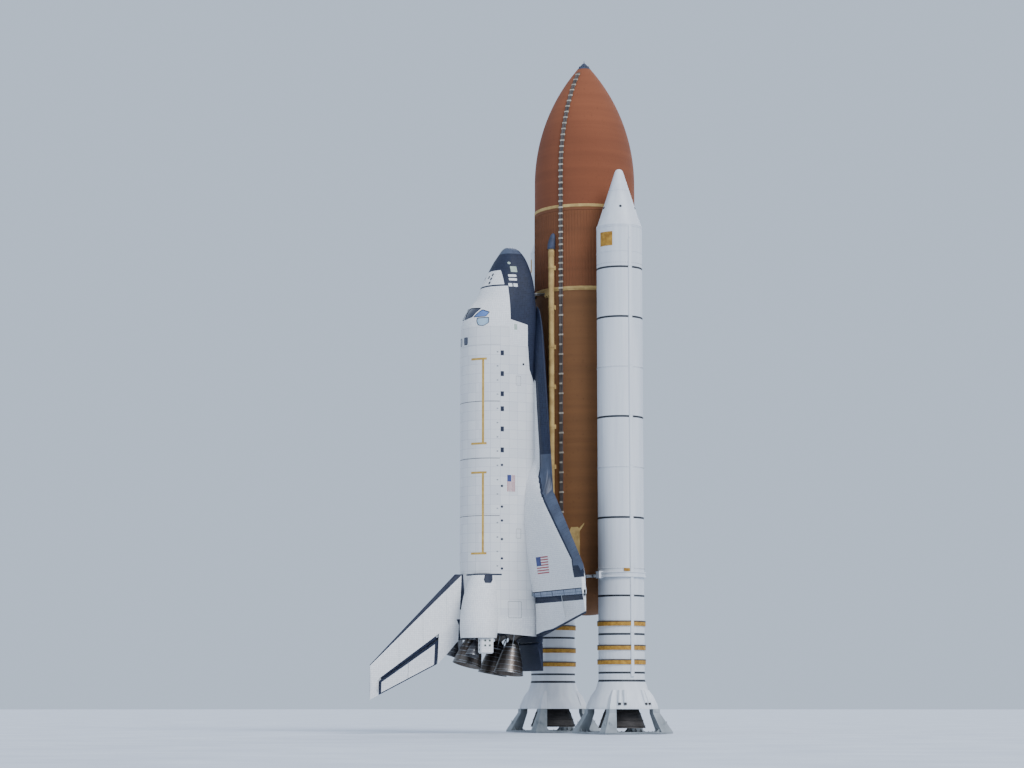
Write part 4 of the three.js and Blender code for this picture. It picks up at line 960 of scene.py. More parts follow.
def make_cable_tray():
    tray = Piece("cable_tray_channel", "dark_cone", TANK)
    stations = [*np.linspace(TRAY_TOP, OGIVE_END, 40), 1100, 1500, 1800, TRAY_END]
    for low, high, left, right, finish_name in (
        (1.6, 5.2, -5.2, 3.0, "tray_paint"), (-2.0, 0.8, -8, 8, "intertank_foam"),
    ):
        corners = ((left, low), (right, low), (right, high), (left, high))
        tray.add(grid([[on_tank(s, TRAY_ANGLE, g, u) for u, g in corners] for s in stations]), finish_name)
    tray.tube([on_tank(s, TRAY_ANGLE, 3.2, 5.4) for s in stations], 1.5, "tray_paint", 12)
    spots = [*np.arange(TRAY_TOP + 8, INTERTANK_END, 20.5), *np.arange(INTERTANK_END + 20, TRAY_END - 4, 32)]
    places = []
    for i, s in enumerate(spots):
        wide = 1.0 if s < INTERTANK_END or i % 2 else 0.72
        places.append((on_tank(s, TRAY_ANGLE, 2.6), out_of_tank(TRAY_ANGLE), (1, wide, 1)))
    bracket = grid([[(-3, -7.4, z), (2.9, -6.6, z), (2.9, 6.9, z), (-3, 7.6, z)] for z in (-2.6, 2.6)])
    tray.repeat(bracket, places, "bracket_paint")
    tray.done("cable_tray")


def make_bipod():
    struts = Piece("bipod_struts", "tan_foam", TANK).copy_node("forward_bipod", "bare_metal")
    angle = degrees(asin(BIPOD_OUT / TANK_RADIUS))
    pad = grid([[(-4, -13, -16), (-4, 13, -16), (0.5, 11, -14), (0.5, -11, -14)],
                [(-4, -12, 14), (-4, 12, 14), (8, 7, 8), (8, -7, 8)]])
    struts.repeat(pad, [tank_place(BIPOD_STATION, side * angle) for side in (-1, 1)], "poured_foam")
    struts.done("forward_bipod")


def make_aft_mount():
    struts = Piece("aft_attach_struts", "tan_foam", TANK).copy_node("aft_mount", "poured_foam")
    for side in (-1, 1):
        ball = Vector((side * AFT_BALL_OUT, AFT_BALL_DEPTH, BARREL_END))
        for station, angle in ((BARREL_END, 50), (1880, 63)):
            end = on_tank(station, side * angle)
            along = (ball - end).normalized()
            spot = end.lerp(ball, 0.9)
            struts.add(rod(spot - along * 4, spot + along * 4, 8.2), "bare_metal")
        # The ramp ahead of the strut's foot: station, half width in degrees, height
        rows = []
        for station, half, high in ((1896, 5, 0.5), (1914, 6.5, 6), (1990, 6.5, 6.4), (2040, 7.5, 6.8),
                                    (2052, 7.5, 1)):
            corners = ((-half, -3), (half, -3), (half * 0.8, high), (-half * 0.8, high))
            rows.append([on_tank(station, side * (51 + u), g) for u, g in corners])
        struts.add(grid(rows), "poured_foam")
        # The umbilical plate's two blocks
        for (x0, y0, z0), (x1, y1, z1) in (((46, -212, 2044), (76, -206, 2066)),
                                           ((50, -184, 2030), (72, -178, 2070))):
            low, high = sorted((side * x0, side * x1))
            struts.add(block((low, y0, z0), (high, y1, z1)), "bare_metal")
    struts.done("aft_mount")


# Boosters

BOOSTER_RADIUS = 73
NOSE_TIP, TIP_RADIUS, TIP_TURN, NOSE_RADIUS = 200, 14, 1.264, 34.3
PORT_STATION, PORT_RADIUS, PORT_COUNT, FIRST_PORT_ANGLE = 331, 52.2, 5, -22
FRONT_MOUNT, MOUNT_HALF_WIDTH, MOUNT_HALF_HEIGHT = 443, 13, 18
BLACK_BANDS = (531, 691.5, 1011.5, 1331.5, 1577.5, 1697.5, 1817.6)
WHITE_BANDS = (851.5, 1171.5, 1491.5)
STIFFENERS = (1664, 1739, 1784)
# How far each kind of band reaches to both sides, and out of the wall
BLACK_SIZE, WHITE_SIZE, STIFFENER_SIZE = (3.2, 0.35), (2.6, 0.6), (8, 3.6)
TUNNEL_BREAKS = (440, 528, 688, 848, 1008, 1168, 1328, 1488, 1574, 1694, 1830)
RING_TOP, RING_END, RING_PROUD = 1503, 1519, 6.5
FRUSTUM_TOP, SKIRT_START, MOTOR_START = 275, 395, 520
SKIRT_TOP, SKIRT_END, NOZZLE_PIVOT = 1837, 1930.64, 1845
POST_CORNERS = ((1, 1), (1, -1), (-1, 1), (-1, -1))
POST_FOOT = TANK_FLOOR - BOOSTER_DATUM - 5
POST_REACH, GUSSET_SIZE, BOLT_REACH = 98, 34, 108
SQUARE_ANGLE, SQUARE_HALF, SQUARE_STATIONS = -63.5, 19, (416, 462)  # of the ochre square, in degrees
TUNNEL_HEAD, FRONT_RINGS = (398, 436), (397, 478)


def booster_piece(label, side, slot="white_paint", body="stack"):
    return Piece(f"{label}_{side}", slot, booster_frame(side), body)


def ring_places(count, radius, station, start=0.0):
    """Places round a booster, facing out."""
    return [((radius * cos(a), radius * sin(a), station), (cos(a), sin(a), 0))
            for a in np.radians(np.linspace(start, start + 360, count, endpoint=False))]


def booster_patch(stations, middle, half, high):
    """A plate on a booster, to each side of an angle in degrees."""
    turn = np.radians(np.linspace(middle - half, middle + half, 13))
    edge = [(a, high) for a in turn] + [(a, -1) for a in turn[::-1]]
    return grid([[polar(BOOSTER_RADIUS + g, a, s) for a, g in edge] for s in stations], caps="strip")


def bell_wall(table, count):
    """Stations and radii down a bell, from a few of them."""
    stations = np.linspace(table[0][0], table[-1][0], count)
    return list(zip(stations, smooth_rows(table, stations)[:, 0]))


def make_booster_nose(side):
    nose = booster_piece("booster_nose_cap", side)
    turns = np.linspace(0, TIP_TURN, 12)
    tip = [(NOSE_TIP + TIP_RADIUS * (1 - cos(a)), TIP_RADIUS * sin(a)) for a in turns]
    edge = [(273, NOSE_RADIUS - 0.9), (273.4, NOSE_RADIUS), (FRUSTUM_TOP, NOSE_RADIUS), (FRUSTUM_TOP, 0)]
    nose.add(turned([*tip, *edge]), "booster_paint")
    nose.done(f"booster_nose_{side}")


def make_booster_frustum(side):
    cone = booster_piece("booster_frustum_shell", side)
    wide = BOOSTER_RADIUS + 0.5
    cone.add(turned([(FRUSTUM_TOP, 0), (FRUSTUM_TOP, 33.9), (276.5, 34.4), (391, 71.6), (391.5, wide),
                     (SKIRT_START, wide), (SKIRT_START, 0)]), "booster_paint")
    slope = atan2(BOOSTER_RADIUS - 34, SKIRT_START - FRUSTUM_TOP)
    ports = [(spot, (x * cos(slope), y * cos(slope), -sin(slope)))
             for spot, (x, y, _) in ring_places(
                 PORT_COUNT, PORT_RADIUS, PORT_STATION, FIRST_PORT_ANGLE)]
    # Port cups, dark all over: painted shade in their openings
    cup = pointed_out(turned([(-2, 0), (-2, 4.2), (0.9, 4.2), (0.9, 3.0), (0.2, 2.6), (0.2, 0)], 20))
    cone.repeat(cup, ports, "recess")
    cone.done(f"booster_frustum_{side}")


def make_booster_front_skirt(side):
    skirt = booster_piece("booster_skirt_front", side)
    skirt.add(turned([(SKIRT_START, 0), (SKIRT_START, BOOSTER_RADIUS), (MOTOR_START, BOOSTER_RADIUS),
                      (MOTOR_START, 0)]), "booster_paint")
    skirt.add(booster_patch(SQUARE_STATIONS, SQUARE_ANGLE, SQUARE_HALF, 0.25), "cork_band")
    skirt.add(booster_patch(TUNNEL_HEAD, 0, 3.6, 2.2), "booster_paint")
    for station in FRONT_RINGS:
        steps = [(0, -1), (0, 0.7), (2.5, 0.7), (2.5, -1)]
        skirt.add(ridge(steps, station, BOOSTER_RADIUS), "booster_paint")
    gap = BOOSTER_OFFSET - TANK_RADIUS - PROUD
    mount = block((-gap - 0.8, -MOUNT_HALF_WIDTH, FRONT_MOUNT - MOUNT_HALF_HEIGHT),
                  (6 - BOOSTER_RADIUS, MOUNT_HALF_WIDTH, FRONT_MOUNT + MOUNT_HALF_HEIGHT))
    skirt.add(mount, "booster_paint")
    skirt.add(rod((-gap - 1, 0, FRONT_MOUNT), (8 - BOOSTER_RADIUS, 0, FRONT_MOUNT), 9), "bare_metal")
    rivet = block((-1, -0.8, -0.8), (0.8, 0.8, 0.8))
    skirt.repeat(rivet, ring_places(60, BOOSTER_RADIUS, MOTOR_START - 3), "bare_metal")
    skirt.done(f"booster_forward_skirt_{side}")


def make_booster_motor(side):
    motor = booster_piece("booster_motor_case", side)
    edges = [(s, *BLACK_SIZE) for s in BLACK_BANDS] + [(s, *WHITE_SIZE) for s in WHITE_BANDS]
    edges += [(s, *STIFFENER_SIZE) for s in STIFFENERS]
    profile = [(MOTOR_START, 0), (MOTOR_START, BOOSTER_RADIUS)]
    for station, half, proud in sorted(edges):
        flat = half - min(0.5, proud)
        profile += [(station + along, BOOSTER_RADIUS + out) for along, out in (
            (-half, 0), (-flat, proud), (flat, proud), (half, 0))]
    profile += [(SKIRT_TOP, BOOSTER_RADIUS), (SKIRT_TOP, 58), (NOZZLE_PIVOT, 50), (NOZZLE_PIVOT, 40),
                (SKIRT_TOP - 14, 22), (SKIRT_TOP - 14, 0)]
    motor.add(turned(profile), "booster_paint")
    motor.paint("black_band", lambda c, n: any(abs(c.z - s) < 3.3 for s in BLACK_BANDS))
    motor.paint("cork_band", lambda c, n: any(abs(c.z - s) < 8.1 for s in STIFFENERS))
    # A dark ring on each stiffener's upper flange: painted shadow
    for station in STIFFENERS:
        steps = [(-8.2, -1), (-8.2, 3.9), (-4.6, 3.9), (-4.6, -1)]
        motor.add(ridge(steps, station, BOOSTER_RADIUS), "flange_shadow_ring")
    pins = [spot for s in WHITE_BANDS for spot in ring_places(90, BOOSTER_RADIUS + 0.4, s)]
    motor.repeat(block((-0.6, -0.7, -0.7), (0.9, 0.7, 0.7)), pins, "bare_metal")
    motor.done(f"booster_motor_{side}")


def make_booster_tunnel(side):
    tunnel = booster_piece("booster_systems_tunnel", side)
    section_points = ((-3, -6), (2.4, -6), (4.1, -4), (4.1, 4), (2.4, 6), (-3, 6))
    for start, end in zip(TUNNEL_BREAKS, TUNNEL_BREAKS[1:]):
        tunnel.add(grid([[(BOOSTER_RADIUS + out, y, s) for out, y in section_points]
                         for s in (start + 0.5, end - 0.5)]), "booster_paint")
    tunnel.add(block((BOOSTER_RADIUS - 4, -5, 441), (BOOSTER_RADIUS + 3, 5, 1829)), "booster_paint")
    tunnel.add(grid([[(BOOSTER_RADIUS + out, y, s) for out, y in ((-3, -half), (top, 0), (-3, half))]
                     for s, half, top in ((424, 5, 0.2), (441, 6, 4.1))]), "booster_paint")
    tunnel.done(f"booster_tunnel_{side}")


def make_booster_ring(side):
    ring = booster_piece("booster_attach_ring", side)
    wide, rail, web = RING_END - RING_TOP, RING_PROUD, RING_PROUD - 2
    steps = [(0, -1), (0, rail), (2.5, rail), (3.5, web), (wide - 3.5, web), (wide - 2.5, rail),
             (wide, rail), (wide, -1)]
    ring.add(ridge(steps, RING_TOP, BOOSTER_RADIUS), "booster_paint")
    middle = (RING_TOP + RING_END) / 2
    # The struts to the tank, from the ring out, with a bare collar near each end
    for start, end, radius in (((-52, 56), (-112, 74), 4.5), ((-52, -56), (-112, -74), 4.5),
                               ((-40, 66), (-128, 92), 4)):
        a, b = Vector((*start, middle)), Vector((*end, middle))
        ring.add(rod(a, b, radius), "booster_paint")
        along = (b - a).normalized() * 3
        for share in (0.32, 0.86):
            spot = a.lerp(b, share)
            ring.add(rod(spot - along, spot + along, radius + 1.6), "bare_metal")
    # The junction box on the orbiter's side
    box = block((-8, -BOOSTER_RADIUS - 12, RING_TOP - 3), (14, 4 - BOOSTER_RADIUS, RING_END + 3))
    ring.add(box, "booster_paint")
    ring.add(booster_patch((RING_TOP - 11, RING_TOP - 2), -13, 7, 3.4), "cork_band")
    ring.done(f"booster_ring_{side}")


def make_booster_rear_skirt(side):
    flare = booster_piece("booster_skirt_rear", side)
    outer = [(SKIRT_TOP, 73), (SKIRT_TOP + 2, 73.2), (1846, 75), (1870, 82.4), (1896, 92.6), (1922, 103.2),
             (1925, 104), (SKIRT_END, 104)]
    inner = [(SKIRT_END, 98), (1922, 98), (1852, 70), (1842, 66), (1842, 59), (SKIRT_TOP, 59)]
    flare.add(turned([*outer, *inner], 120, loop=True), "booster_paint")
    flare.paint("black_band", lambda c, n: 1838 < c.z < 1846 and hypot(c.x, c.y) > 72)
    # The skirt's inner faces are painted dark as shade
    flare.paint("recess", lambda c, n: n.z > 0 and hypot(c.x, c.y) < 97.5 or n.x * c.x + n.y * c.y < 0)
    for sx, sy in POST_CORNERS:
        # The foot over a post, with its bolt: station, half width, and how far out both ways
        rows = []
        for station, half, out in ((1872, 5, 58), (1890, 8, 65), (1915, 10, 72), (1924, 11, 73),
                                   (SKIRT_END, 11, 73)):
            rows.append([(sx * out + u * half, sy * out + v * half, station)
                         for u, v in ((-1, -1), (1, -1), (1, 1), (-1, 1))])
        flare.add(grid(rows), "booster_paint")
        flare.add(rod((sx * 74, sy * 74, 1906), (sx * 74, sy * 74, 1924), 4.5, sides=6), "bare_metal")
    rib = grid([[(97.0, y, 1918), (72, y, 1858), (66, y, 1858), (91, y, 1918)] for y in (-0.8, 0.8)])
    flare.repeat(rib, [((0, 0, 0), out) for _, out in ring_places(24, 1, 0, 7.5)], "grey_paint")
    # The separation motors
    for a in np.radians((-31, -21, 21, 31)):
        top, end = polar(84, a, 1872), polar(101, a, 1912)
        flare.add(rod(top, end, 6), "booster_paint")
        flare.add(rod(end, end + (end - top) * 0.12, 3.5, 5.2), "phenolic")
    flare.done(f"booster_aft_skirt_{side}")


def make_booster_nozzle(side):
    bell = booster_piece("booster_nozzle_bell", side, "dark_cone", f"booster_nozzle_{side}")
    wall = bell_wall([(5, 11), (22, 30), (34, 32), (42, 30), (66, 43.5), (104, 60.2), (144.9, 74.8)], 40)
    inner = [(144.9, 72.6), (104, 57), (66, 40), (42, 24), (38, 0)]
    bell.add(turned([(NOZZLE_PIVOT + d, r) for d, r in [(5, 0), *wall, *inner]]), "phenolic")
    for d, r in ((60, 40.4), (80, 50.2), (100, 58.9), (120, 66.4), (138, 72.6)):
        steps = [(-1.5, -1), (-1, 1.5), (1, 1.9), (1.5, -1)]
        bell.add(ridge(steps, NOZZLE_PIVOT + d, r), "phenolic")
    bell.add(rod((-20, 0, NOZZLE_PIVOT), (20, 0, NOZZLE_PIVOT), 14, sides=32), "bare_metal")
    bell.done(f"booster_nozzle_{side}")


def make_support_posts(side):
    posts = booster_piece("support_post_frame", side, "grey_paint")
    posts.copy_node(f"support_posts_{side}", "grey_paint")
    for sx, sy in POST_CORNERS:
        base = Vector((sx * POST_REACH, sy * POST_REACH, POST_FOOT))
        for reach, way in (((sx, 0, 0), (0, 1, 0)), ((0, sy, 0), (1, 0, 0))):
            for offset in (-9, 9):
                high = base + Vector(way) * offset
                corners = [high - Vector(reach) * GUSSET_SIZE, high, high - Vector((0, 0, GUSSET_SIZE))]
                gusset = [[c + Vector(way) * thick for c in corners] for thick in (-0.8, 0.8)]
                posts.add(grid(gusset), "grey_paint")
    steps = np.linspace(-1, 1, 9)
    spots = [(u, v) for u in steps for v in (-1, 1)] + [(v, u) for u in steps[1:-1] for v in (-1, 1)]
    bolts = [((a * BOLT_REACH, b * BOLT_REACH, POST_FOOT), (1, 0, 0)) for a, b in spots]
    posts.repeat(turned([(-2.2, 0), (-2.2, 1.6), (0.4, 1.6), (0.4, 0)], 6), bolts, "bare_metal")
    posts.done(f"support_posts_{side}")


# Orbiter, front

# Each pane: its finish, and its corners as station and degrees up from the side
WINDOWS = [
    ("shaded_glass", [(450, 88), (455, 57), (482, 68), (488, 88)]),
    ("blue_reflection_glass", [(461, 52), (470, 37), (483, 41.5), (483, 63)]),
    ("pale_glass", [(488.5, 56), (488, 36), (505, 35), (514, 43), (511.5, 52), (499, 56)]),
]
CABIN_WALL, CABIN_FLOOR, CABIN_ENDS = 6, 300, (430, 562)
HATCH_STATION, HATCH_HEIGHT, HATCH_RADIUS = 492, 352, 20
HATCH_OUT, HATCH_PIVOT_HEIGHT = 104.4, 329.5


def pane_outline(corners, grow):
    return soft_outline([(s, radians(a) * 100) for s, a in corners], grow)


def make_nose():
    cap = Piece("nose_cap_carbon", "carbon", ORBITER)
    tip = hull_ring(238.3)
    middle = tip.mean(axis=0)
    rows = []
    for station, share in ((238, 0.15), (238.05, 0.55)):
        row = middle + (tip - middle) * share
        row[:, 0] = station
        rows.append(row)
    rows += [hull_ring(s) for s in (238.3, 239, 240.2, 242, 245, 249, 254, NOSE_END - SEAM)]
    cap.add(grid(rows), "carbon")
    cap.done("nose_cap")


def hollow_cabin(front):
    """Cuts out the cabin, the windows and the hatch's opening, and frames the windows."""
    cabin = [hull_ring(s, -CABIN_WALL) for s in np.linspace(*CABIN_ENDS, 24)]
    for row in cabin:
        row[:, 2] = np.maximum(row[:, 2], CABIN_FLOOR)
    front.cut(grid(cabin), "recess")
    for _, corners in WINDOWS:
        points, faces = lens(pane_outline(corners, 0), on_roof, 8, -CABIN_WALL - 5)
        front.cut((points, faces), "recess")
        front.cut(([(x, -y, z) for x, y, z in points], faces), "recess")
    bore = [(HATCH_STATION, out, HATCH_HEIGHT) for out in (-130, -85)]
    front.cut(rod(*bore, HATCH_RADIUS, sides=48), "grey_paint")
    for _, corners in WINDOWS:
        front.pair(rim(pane_outline(corners, 1.7), pane_outline(corners, 0), on_roof, 0.3, -1), "black_tile")


def trim_front(front):
    """The overhead panes, the patches over the side thrusters, and the upper thrusters."""
    pane = rounded_box(549, 131, 571, 148, 3)
    front.pair(lens(pane, on_roof, 0.15), "shaded_glass")
    front.pair(rim(rounded_box(547.5, 129.5, 572.5, 149.5, 4), pane, on_roof, 0.35), "black_tile")
    front.pair(lens(rounded_box(311, 342, 331, 363, 1.2), on_side, 0.3), "thruster_cover")
    for box in ((340, 348, 348, 374), (353, 348, 361, 374), (371, 366, 382, 378), (371, 348, 382, 362)):
        front.pair(lens(rounded_box(*box, 1.2), on_side, 0.3), "white_tile")
    front.pair(lens(round_outline((299, 363), 4.5), on_side, 0.3), "thruster_cover")
    front.add(lens(rounded_box(507, 358, 525, 368, 1), on_side, 0.3), "thruster_cover")
    # The upper thrusters' ports: flat dark discs as painted shade for their holes, in grey rims
    for spot in ((338, 118), (352, 118), (366, 118), (345, 137)):
        port = round_outline(spot, 4.6)
        front.pair(lens(port, on_roof, 0.12), "recess")
        front.pair(rim(round_outline(spot, 5.6), port, on_roof, 0.35), "grey_paint")


def add_hatch_lugs(front):
    """The two lugs that hold the hatch's pin."""
    out, pivot = -HATCH_OUT, HATCH_PIVOT_HEIGHT
    outer = rounded_box(out - 2.2, pivot - 2.6, out + 2.2, pivot + 2.2, 1)
    hole = round_outline((out, pivot), 1.22)
    for low, high in ((HATCH_STATION - 13, HATCH_STATION - 9.5), (HATCH_STATION + 9.5, HATCH_STATION + 13)):
        front.add(rim(outer, hole, lambda a, b, g: (g, a, b), high, low), "bare_metal")
        front.add(block((low, out + 2.0, pivot - 2.6), (high, -98, pivot + 2.2)), "bare_metal")


def make_forward_fuselage():
    front = Piece("forward_fuselage_tiles", "white_tile", ORBITER)
    front.add(hull(NOSE_END + SEAM, BAY_START - SEAM), "white_tile")
    # The tip, the nose's sides, a stripe behind the thrusters, the chin and the belly
    chin = [(380, 200), (380, 380), (492, 380), (507, 320), (507, 200)]
    for outline in (rect(250, 200, 324, 600), rect(324, 200, 380, 390), rect(374.5, 380, 380, 600), chin,
                    rect(507, 200, 600, 320)):
        front.zone("black_tile", outline)
    front.zone("quilted_blanket", rect(515, 385, 600, 600))
    hollow_cabin(front)
    trim_front(front)
    add_hatch_lugs(front)
    front.done("forward_fuselage")


def make_windshield():
    panes = Piece("windshield_panes", "cabin_glass", ORBITER)
    for finish_name, corners in WINDOWS:
        panes.pair(lens(pane_outline(corners, -SEAM * 2), on_roof, -0.9, -7.4), finish_name)
    # A dark sheet behind the panes: painted shade for the cabin's inside
    turn = np.linspace(radians(16), pi - radians(16), 65)
    panes.add(grid(hull_strip(np.linspace(438, 518, 7), turn, -6.4, -8.4), caps="strip"), "recess")
    panes.done("windshield")


def make_hatch():
    hatch = Piece("crew_hatch_door", "black_tile", ORBITER, "hatch")
    centre, out, pivot = (HATCH_STATION, HATCH_HEIGHT), -HATCH_OUT, HATCH_PIVOT_HEIGHT
    pane = round_outline(centre, 5)
    hatch.add(lens(round_outline(centre, HATCH_RADIUS - 0.5), on_port, -0.02, -5), "black_tile")
    hatch.add(lens(pane, on_port, 0.1), "shaded_glass")
    hatch.add(rim(round_outline(centre, 6.6), pane, on_port, 0.4), "bare_metal")
    fore, aft = HATCH_STATION - 5, HATCH_STATION + 5
    hatch.add(rod((fore - 7, out, pivot), (aft + 7, out, pivot), 1.1), "bare_metal")
    hatch.add(block((fore, out - 1.1, pivot - 1), (aft, out + 1.1, pivot + 9)), "bare_metal")
    hatch.add(block((fore, out - 1, pivot + 4.5), (aft, -98, pivot + 9)), "bare_metal")
    hatch.done("crew_hatch")


# Orbiter, middle

SILL_HEIGHT = 418
SILL_ANGLE = asin(20 / 104)
BAY_RADIUS, BAY_AXIS = 92, 400
DOOR_SEAMS = (758.9, 941.6, 1124.4)
DOOR_AXIS = 398
DOOR_DEPTH = 5


def bay_arc(radius, height=0.0):
    """Points of a round section of the bay, from port by the floor to starboard."""
    return [(0, radius * cos(a), height + radius * sin(a)) for a in np.linspace(pi, 2 * pi, 49)]


def outside_bay(centre, normal):
    return hypot(centre.y, centre.z - BAY_AXIS) > BAY_RADIUS + 1


def trim_middle(middle):
    """The side's vents and ports, the flag, and two access doors' outlines."""
    for station in (603, 670, 735, 783, 848, 915):
        vent = rounded_box(station - 8, 404.5, station + 8, 415.5, 1)
        middle.pair(lens(vent, on_side, 0.2), "black_tile")
    for station in (963, 1030, 1096, 1140, 1199, 1260, 1292):
        middle.pair(lens(round_outline((station, 411), 4), on_side, 0.2), "black_tile")
    # A flat dark disc as painted shade for a vent's hole
    middle.pair(lens(round_outline((636, 336), 3.6), on_side, 0.2), "recess")
    flag(middle, (994, 393), (1047, 366), on_side, -0.5)
    for s in (690, 1180):
        outer = rounded_box(s - 15, 345, s + 15, 362, 1.5)
        inner = rounded_box(s - 14.3, 345.7, s + 14.3, 361.3, 1.2)
        middle.pair(rim(outer, inner, on_side, 0.1), "recess")


def make_middle_fuselage():
    middle = Piece("middle_fuselage_skin", "white_tile", ORBITER)
    outside = even(hull_points(BAY_START, np.linspace(SILL_ANGLE, -pi - SILL_ANGLE, 1200)), 120)
    trough = [(0, -BAY_RADIUS, SILL_HEIGHT), *bay_arc(BAY_RADIUS, BAY_AXIS), (0, BAY_RADIUS, SILL_HEIGHT)]
    section_points = np.vstack([outside, trough])[:, 1:]
    rows = [[(s, y, z) for y, z in section_points] for s in np.linspace(BAY_START, BAY_END - SEAM, 40)]
    middle.add(grid(rows), "quilted_blanket")
    middle.paint("bay_cloth", lambda c, n: hypot(c.y, c.z - BAY_AXIS) < BAY_RADIUS + 0.5 and abs(n.x) < 0.5)
    belly = [(570, 200), (570, 320), (651, 314), (720, 286), (1310, 284), (1310, 200)]
    middle.zone("black_tile", belly, where=outside_bay)
    arcs = [*bay_arc(BAY_RADIUS + 1), *bay_arc(BAY_RADIUS - 2.2)[::-1]]
    rib = grid([[(s, y, z) for _, y, z in arcs] for s in (-1.6, 1.6)], caps="strip")
    middle.repeat(rib, [((s, 0, BAY_AXIS), (1, 0, 0)) for s in np.linspace(636, 1247, 12)], "grey_paint")
    for low, high in ((-BAY_RADIUS - 3, 2 - BAY_RADIUS), (BAY_RADIUS - 2, BAY_RADIUS + 3)):
        sill = block((BAY_START + 4, low, SILL_HEIGHT - 5), (BAY_END - 4, high, SILL_HEIGHT - 0.3))
        middle.add(sill, "grey_paint")
    trim_middle(middle)
    middle.done("mid_fuselage")


def flag(piece, start, end, place, inner, outer=0.12):
    """A flag without its stars, from the canton's outer corner: red stripes, and a plain blue canton."""
    def bar(left, right, top, bottom, finish_name, depth):
        corners = [[s + (e - s) * share for s, e, share in zip(start, end, shares)]
                   for shares in ((left, top / 13), (right, bottom / 13))]
        low, high = (map(pick, *corners) for pick in (min, max))
        piece.add(lens(rounded_box(*low, *high, 0.1), place, depth, inner), finish_name)

    bar(0, 1, 0, 13, "white_tile", outer)
    for i in range(7):
        bar(0.4 if i < 4 else 0, 1, 2 * i, 2 * i + 1, "flag_red", outer + 0.08)
    bar(0, 0.4, 0, 7, "flag_blue", outer + 0.08)


def make_doors():
    door = Piece("bay_door_shell_right", "white_tile", ORBITER, "door_right")
    turn = np.linspace(SILL_ANGLE + 0.0006, pi / 2 - 0.25 / 104, 40)
    grooves = ((-0.9, 0), (-0.35, -0.6), (0.35, -0.6), (0.9, 0))
    breaks = [(s + along, grow) for s in DOOR_SEAMS for along, grow in grooves]
    rows = []
    for station, grow in [(BAY_START + 0.5, 0), *breaks, (BAY_END - 0.5, 0)]:
        row = hull_strip([BAY_START], turn, grow, -DOOR_DEPTH)[0]
        row[:, 0] = station
        rows.append(row)
    door.add(grid(rows, caps="strip"), "quilted_blanket")

    def facing(centre, normal):
        """How far a face looks out from the doors' axis, or in where negative."""
        return normal.y * centre.y + normal.z * (centre.z - DOOR_AXIS)

    door.paint("radiator_film", lambda c, n: facing(c, n) < -50 and abs(n.x) < 0.5)
    door.paint("recess", lambda c, n: any(abs(c.x - s) < 1 for s in DOOR_SEAMS) and facing(c, n) > 0)
    # The handling strips along the roof, and the latches along the sill
    for first, last in ((622, 894), (987, 1244)):
        door.add(lens(rounded_box(first, 68, last, 75, 0.3), on_roof, 0.2), "yellow_strip")
        for s in (first, last):
            door.add(lens(rounded_box(s - 3.4, 60, s + 3.4, 113, 0.3), on_roof, 0.26), "yellow_strip")
    for s in np.linspace(600, 1284, 16):
        door.add(lens(rounded_box(s - 2, 423, s + 2, 428, 0.5), on_side, 0.18), "grey_paint")
    door.done_both("bay_door")


# Orbiter, aft

# Columns: name, pivot station, to starboard, height, pitch up and yaw out in degrees
ENGINES = [("main_engine_upper", 1445, 0, 443, 16, 0), ("main_engine_left", 1468, -53, 342.6, 10, -3.5),
           ("main_engine_right", 1468, 53, 342.6, 10, 3.5)]
ENGINE_BORE = 46
ENGINE_TRUNNION, POD_TRUNNION = (8, 9), (6, 5)  # half length and radius
FLAP_HINGE, FLAP_HALF = (1532, 281), 110.5


def engine_axis(pitch, yaw):
    p, w = radians(pitch), radians(yaw)
    return (cos(p) * cos(w), sin(w), sin(p) * cos(w))


def aft_rows():
    """The skin's rows, drawn forward with height so that the base leans."""
    rows = []
    start = BAY_END + SEAM
    for share in np.linspace(0, 1, 30):
        station = start + share * (BASE - start)
        row = hull_ring(station)
        end = BASE - (row[:, 2] - 260) / 13
        row[:, 0] = start + share * (end - start)
        row[:, 1] *= smooth_rows(HULL, row[:, 0])[:, 0] / smooth_rows(HULL, [station])[0][0]
        rows.append(row)
    return rows


def add_flap_hinge(aft):
    """The beam ahead of the body flap, and a lug at each end for its pin."""
    station, reach = FLAP_HINGE[0], FLAP_HALF + 3.5
    aft.add(block((BASE - 20, -reach, 273.5), (station - 9.5, reach, 289)), "black_tile")
    for low, high in ((-reach, -FLAP_HALF), (FLAP_HALF, reach)):
        outer, inner = (round_outline(FLAP_HINGE, radius) for radius in (6, 3.1))
        aft.add(rim(outer, inner, across, high, low), "black_tile")
        aft.add(block((BASE - 10, low + 0.15, 275.2), (station - 4.2, high - 0.15, 286.8)), "black_tile")


def make_aft_fuselage():
    aft = Piece("aft_fuselage_skin", "white_tile", ORBITER)
    aft.add(grid(aft_rows()), "quilted_blanket")
    # The belly, the tiles ahead of the base, the stripe behind the doors, and the base
    aft.zone("black_tile", rect(1300, 200, 1530, 284))
    aft.zone("white_tile", rect(1440, 284, 1530, 600), where=lambda c, n: n.x < 0.9)
    aft.zone("black_tile", rect(1308.5, 411, 1313.5, 499))
    aft.paint("black_tile", lambda c, n: n.x > 0.9)
    for _, x, y, z, _, _ in ENGINES:
        aft.cut(rod((x - 6, y, z), (x + 100, y, z), ENGINE_BORE, sides=64), "recess")
        half, radius = ENGINE_TRUNNION[0] + 0.05, ENGINE_TRUNNION[1] + 0.1
        aft.cut(rod((x, y - half, z), (x, y + half, z), radius, sides=32), "recess")
    add_flap_hinge(aft)
    # The side's access door, and two vents low ahead of it
    door = rounded_box(1395, 345, 1447, 392, 3)
    inner = rounded_box(1395.8, 345.8, 1446.2, 391.2, 2.6)
    aft.pair(rim(door, inner, on_side, 0.12), "recess")
    for s in (1330, 1360):
        aft.pair(lens(rounded_box(s, 300, s + 18, 308, 1), on_side, 0.15), "grey_paint")
    aft.done("aft_fuselage")


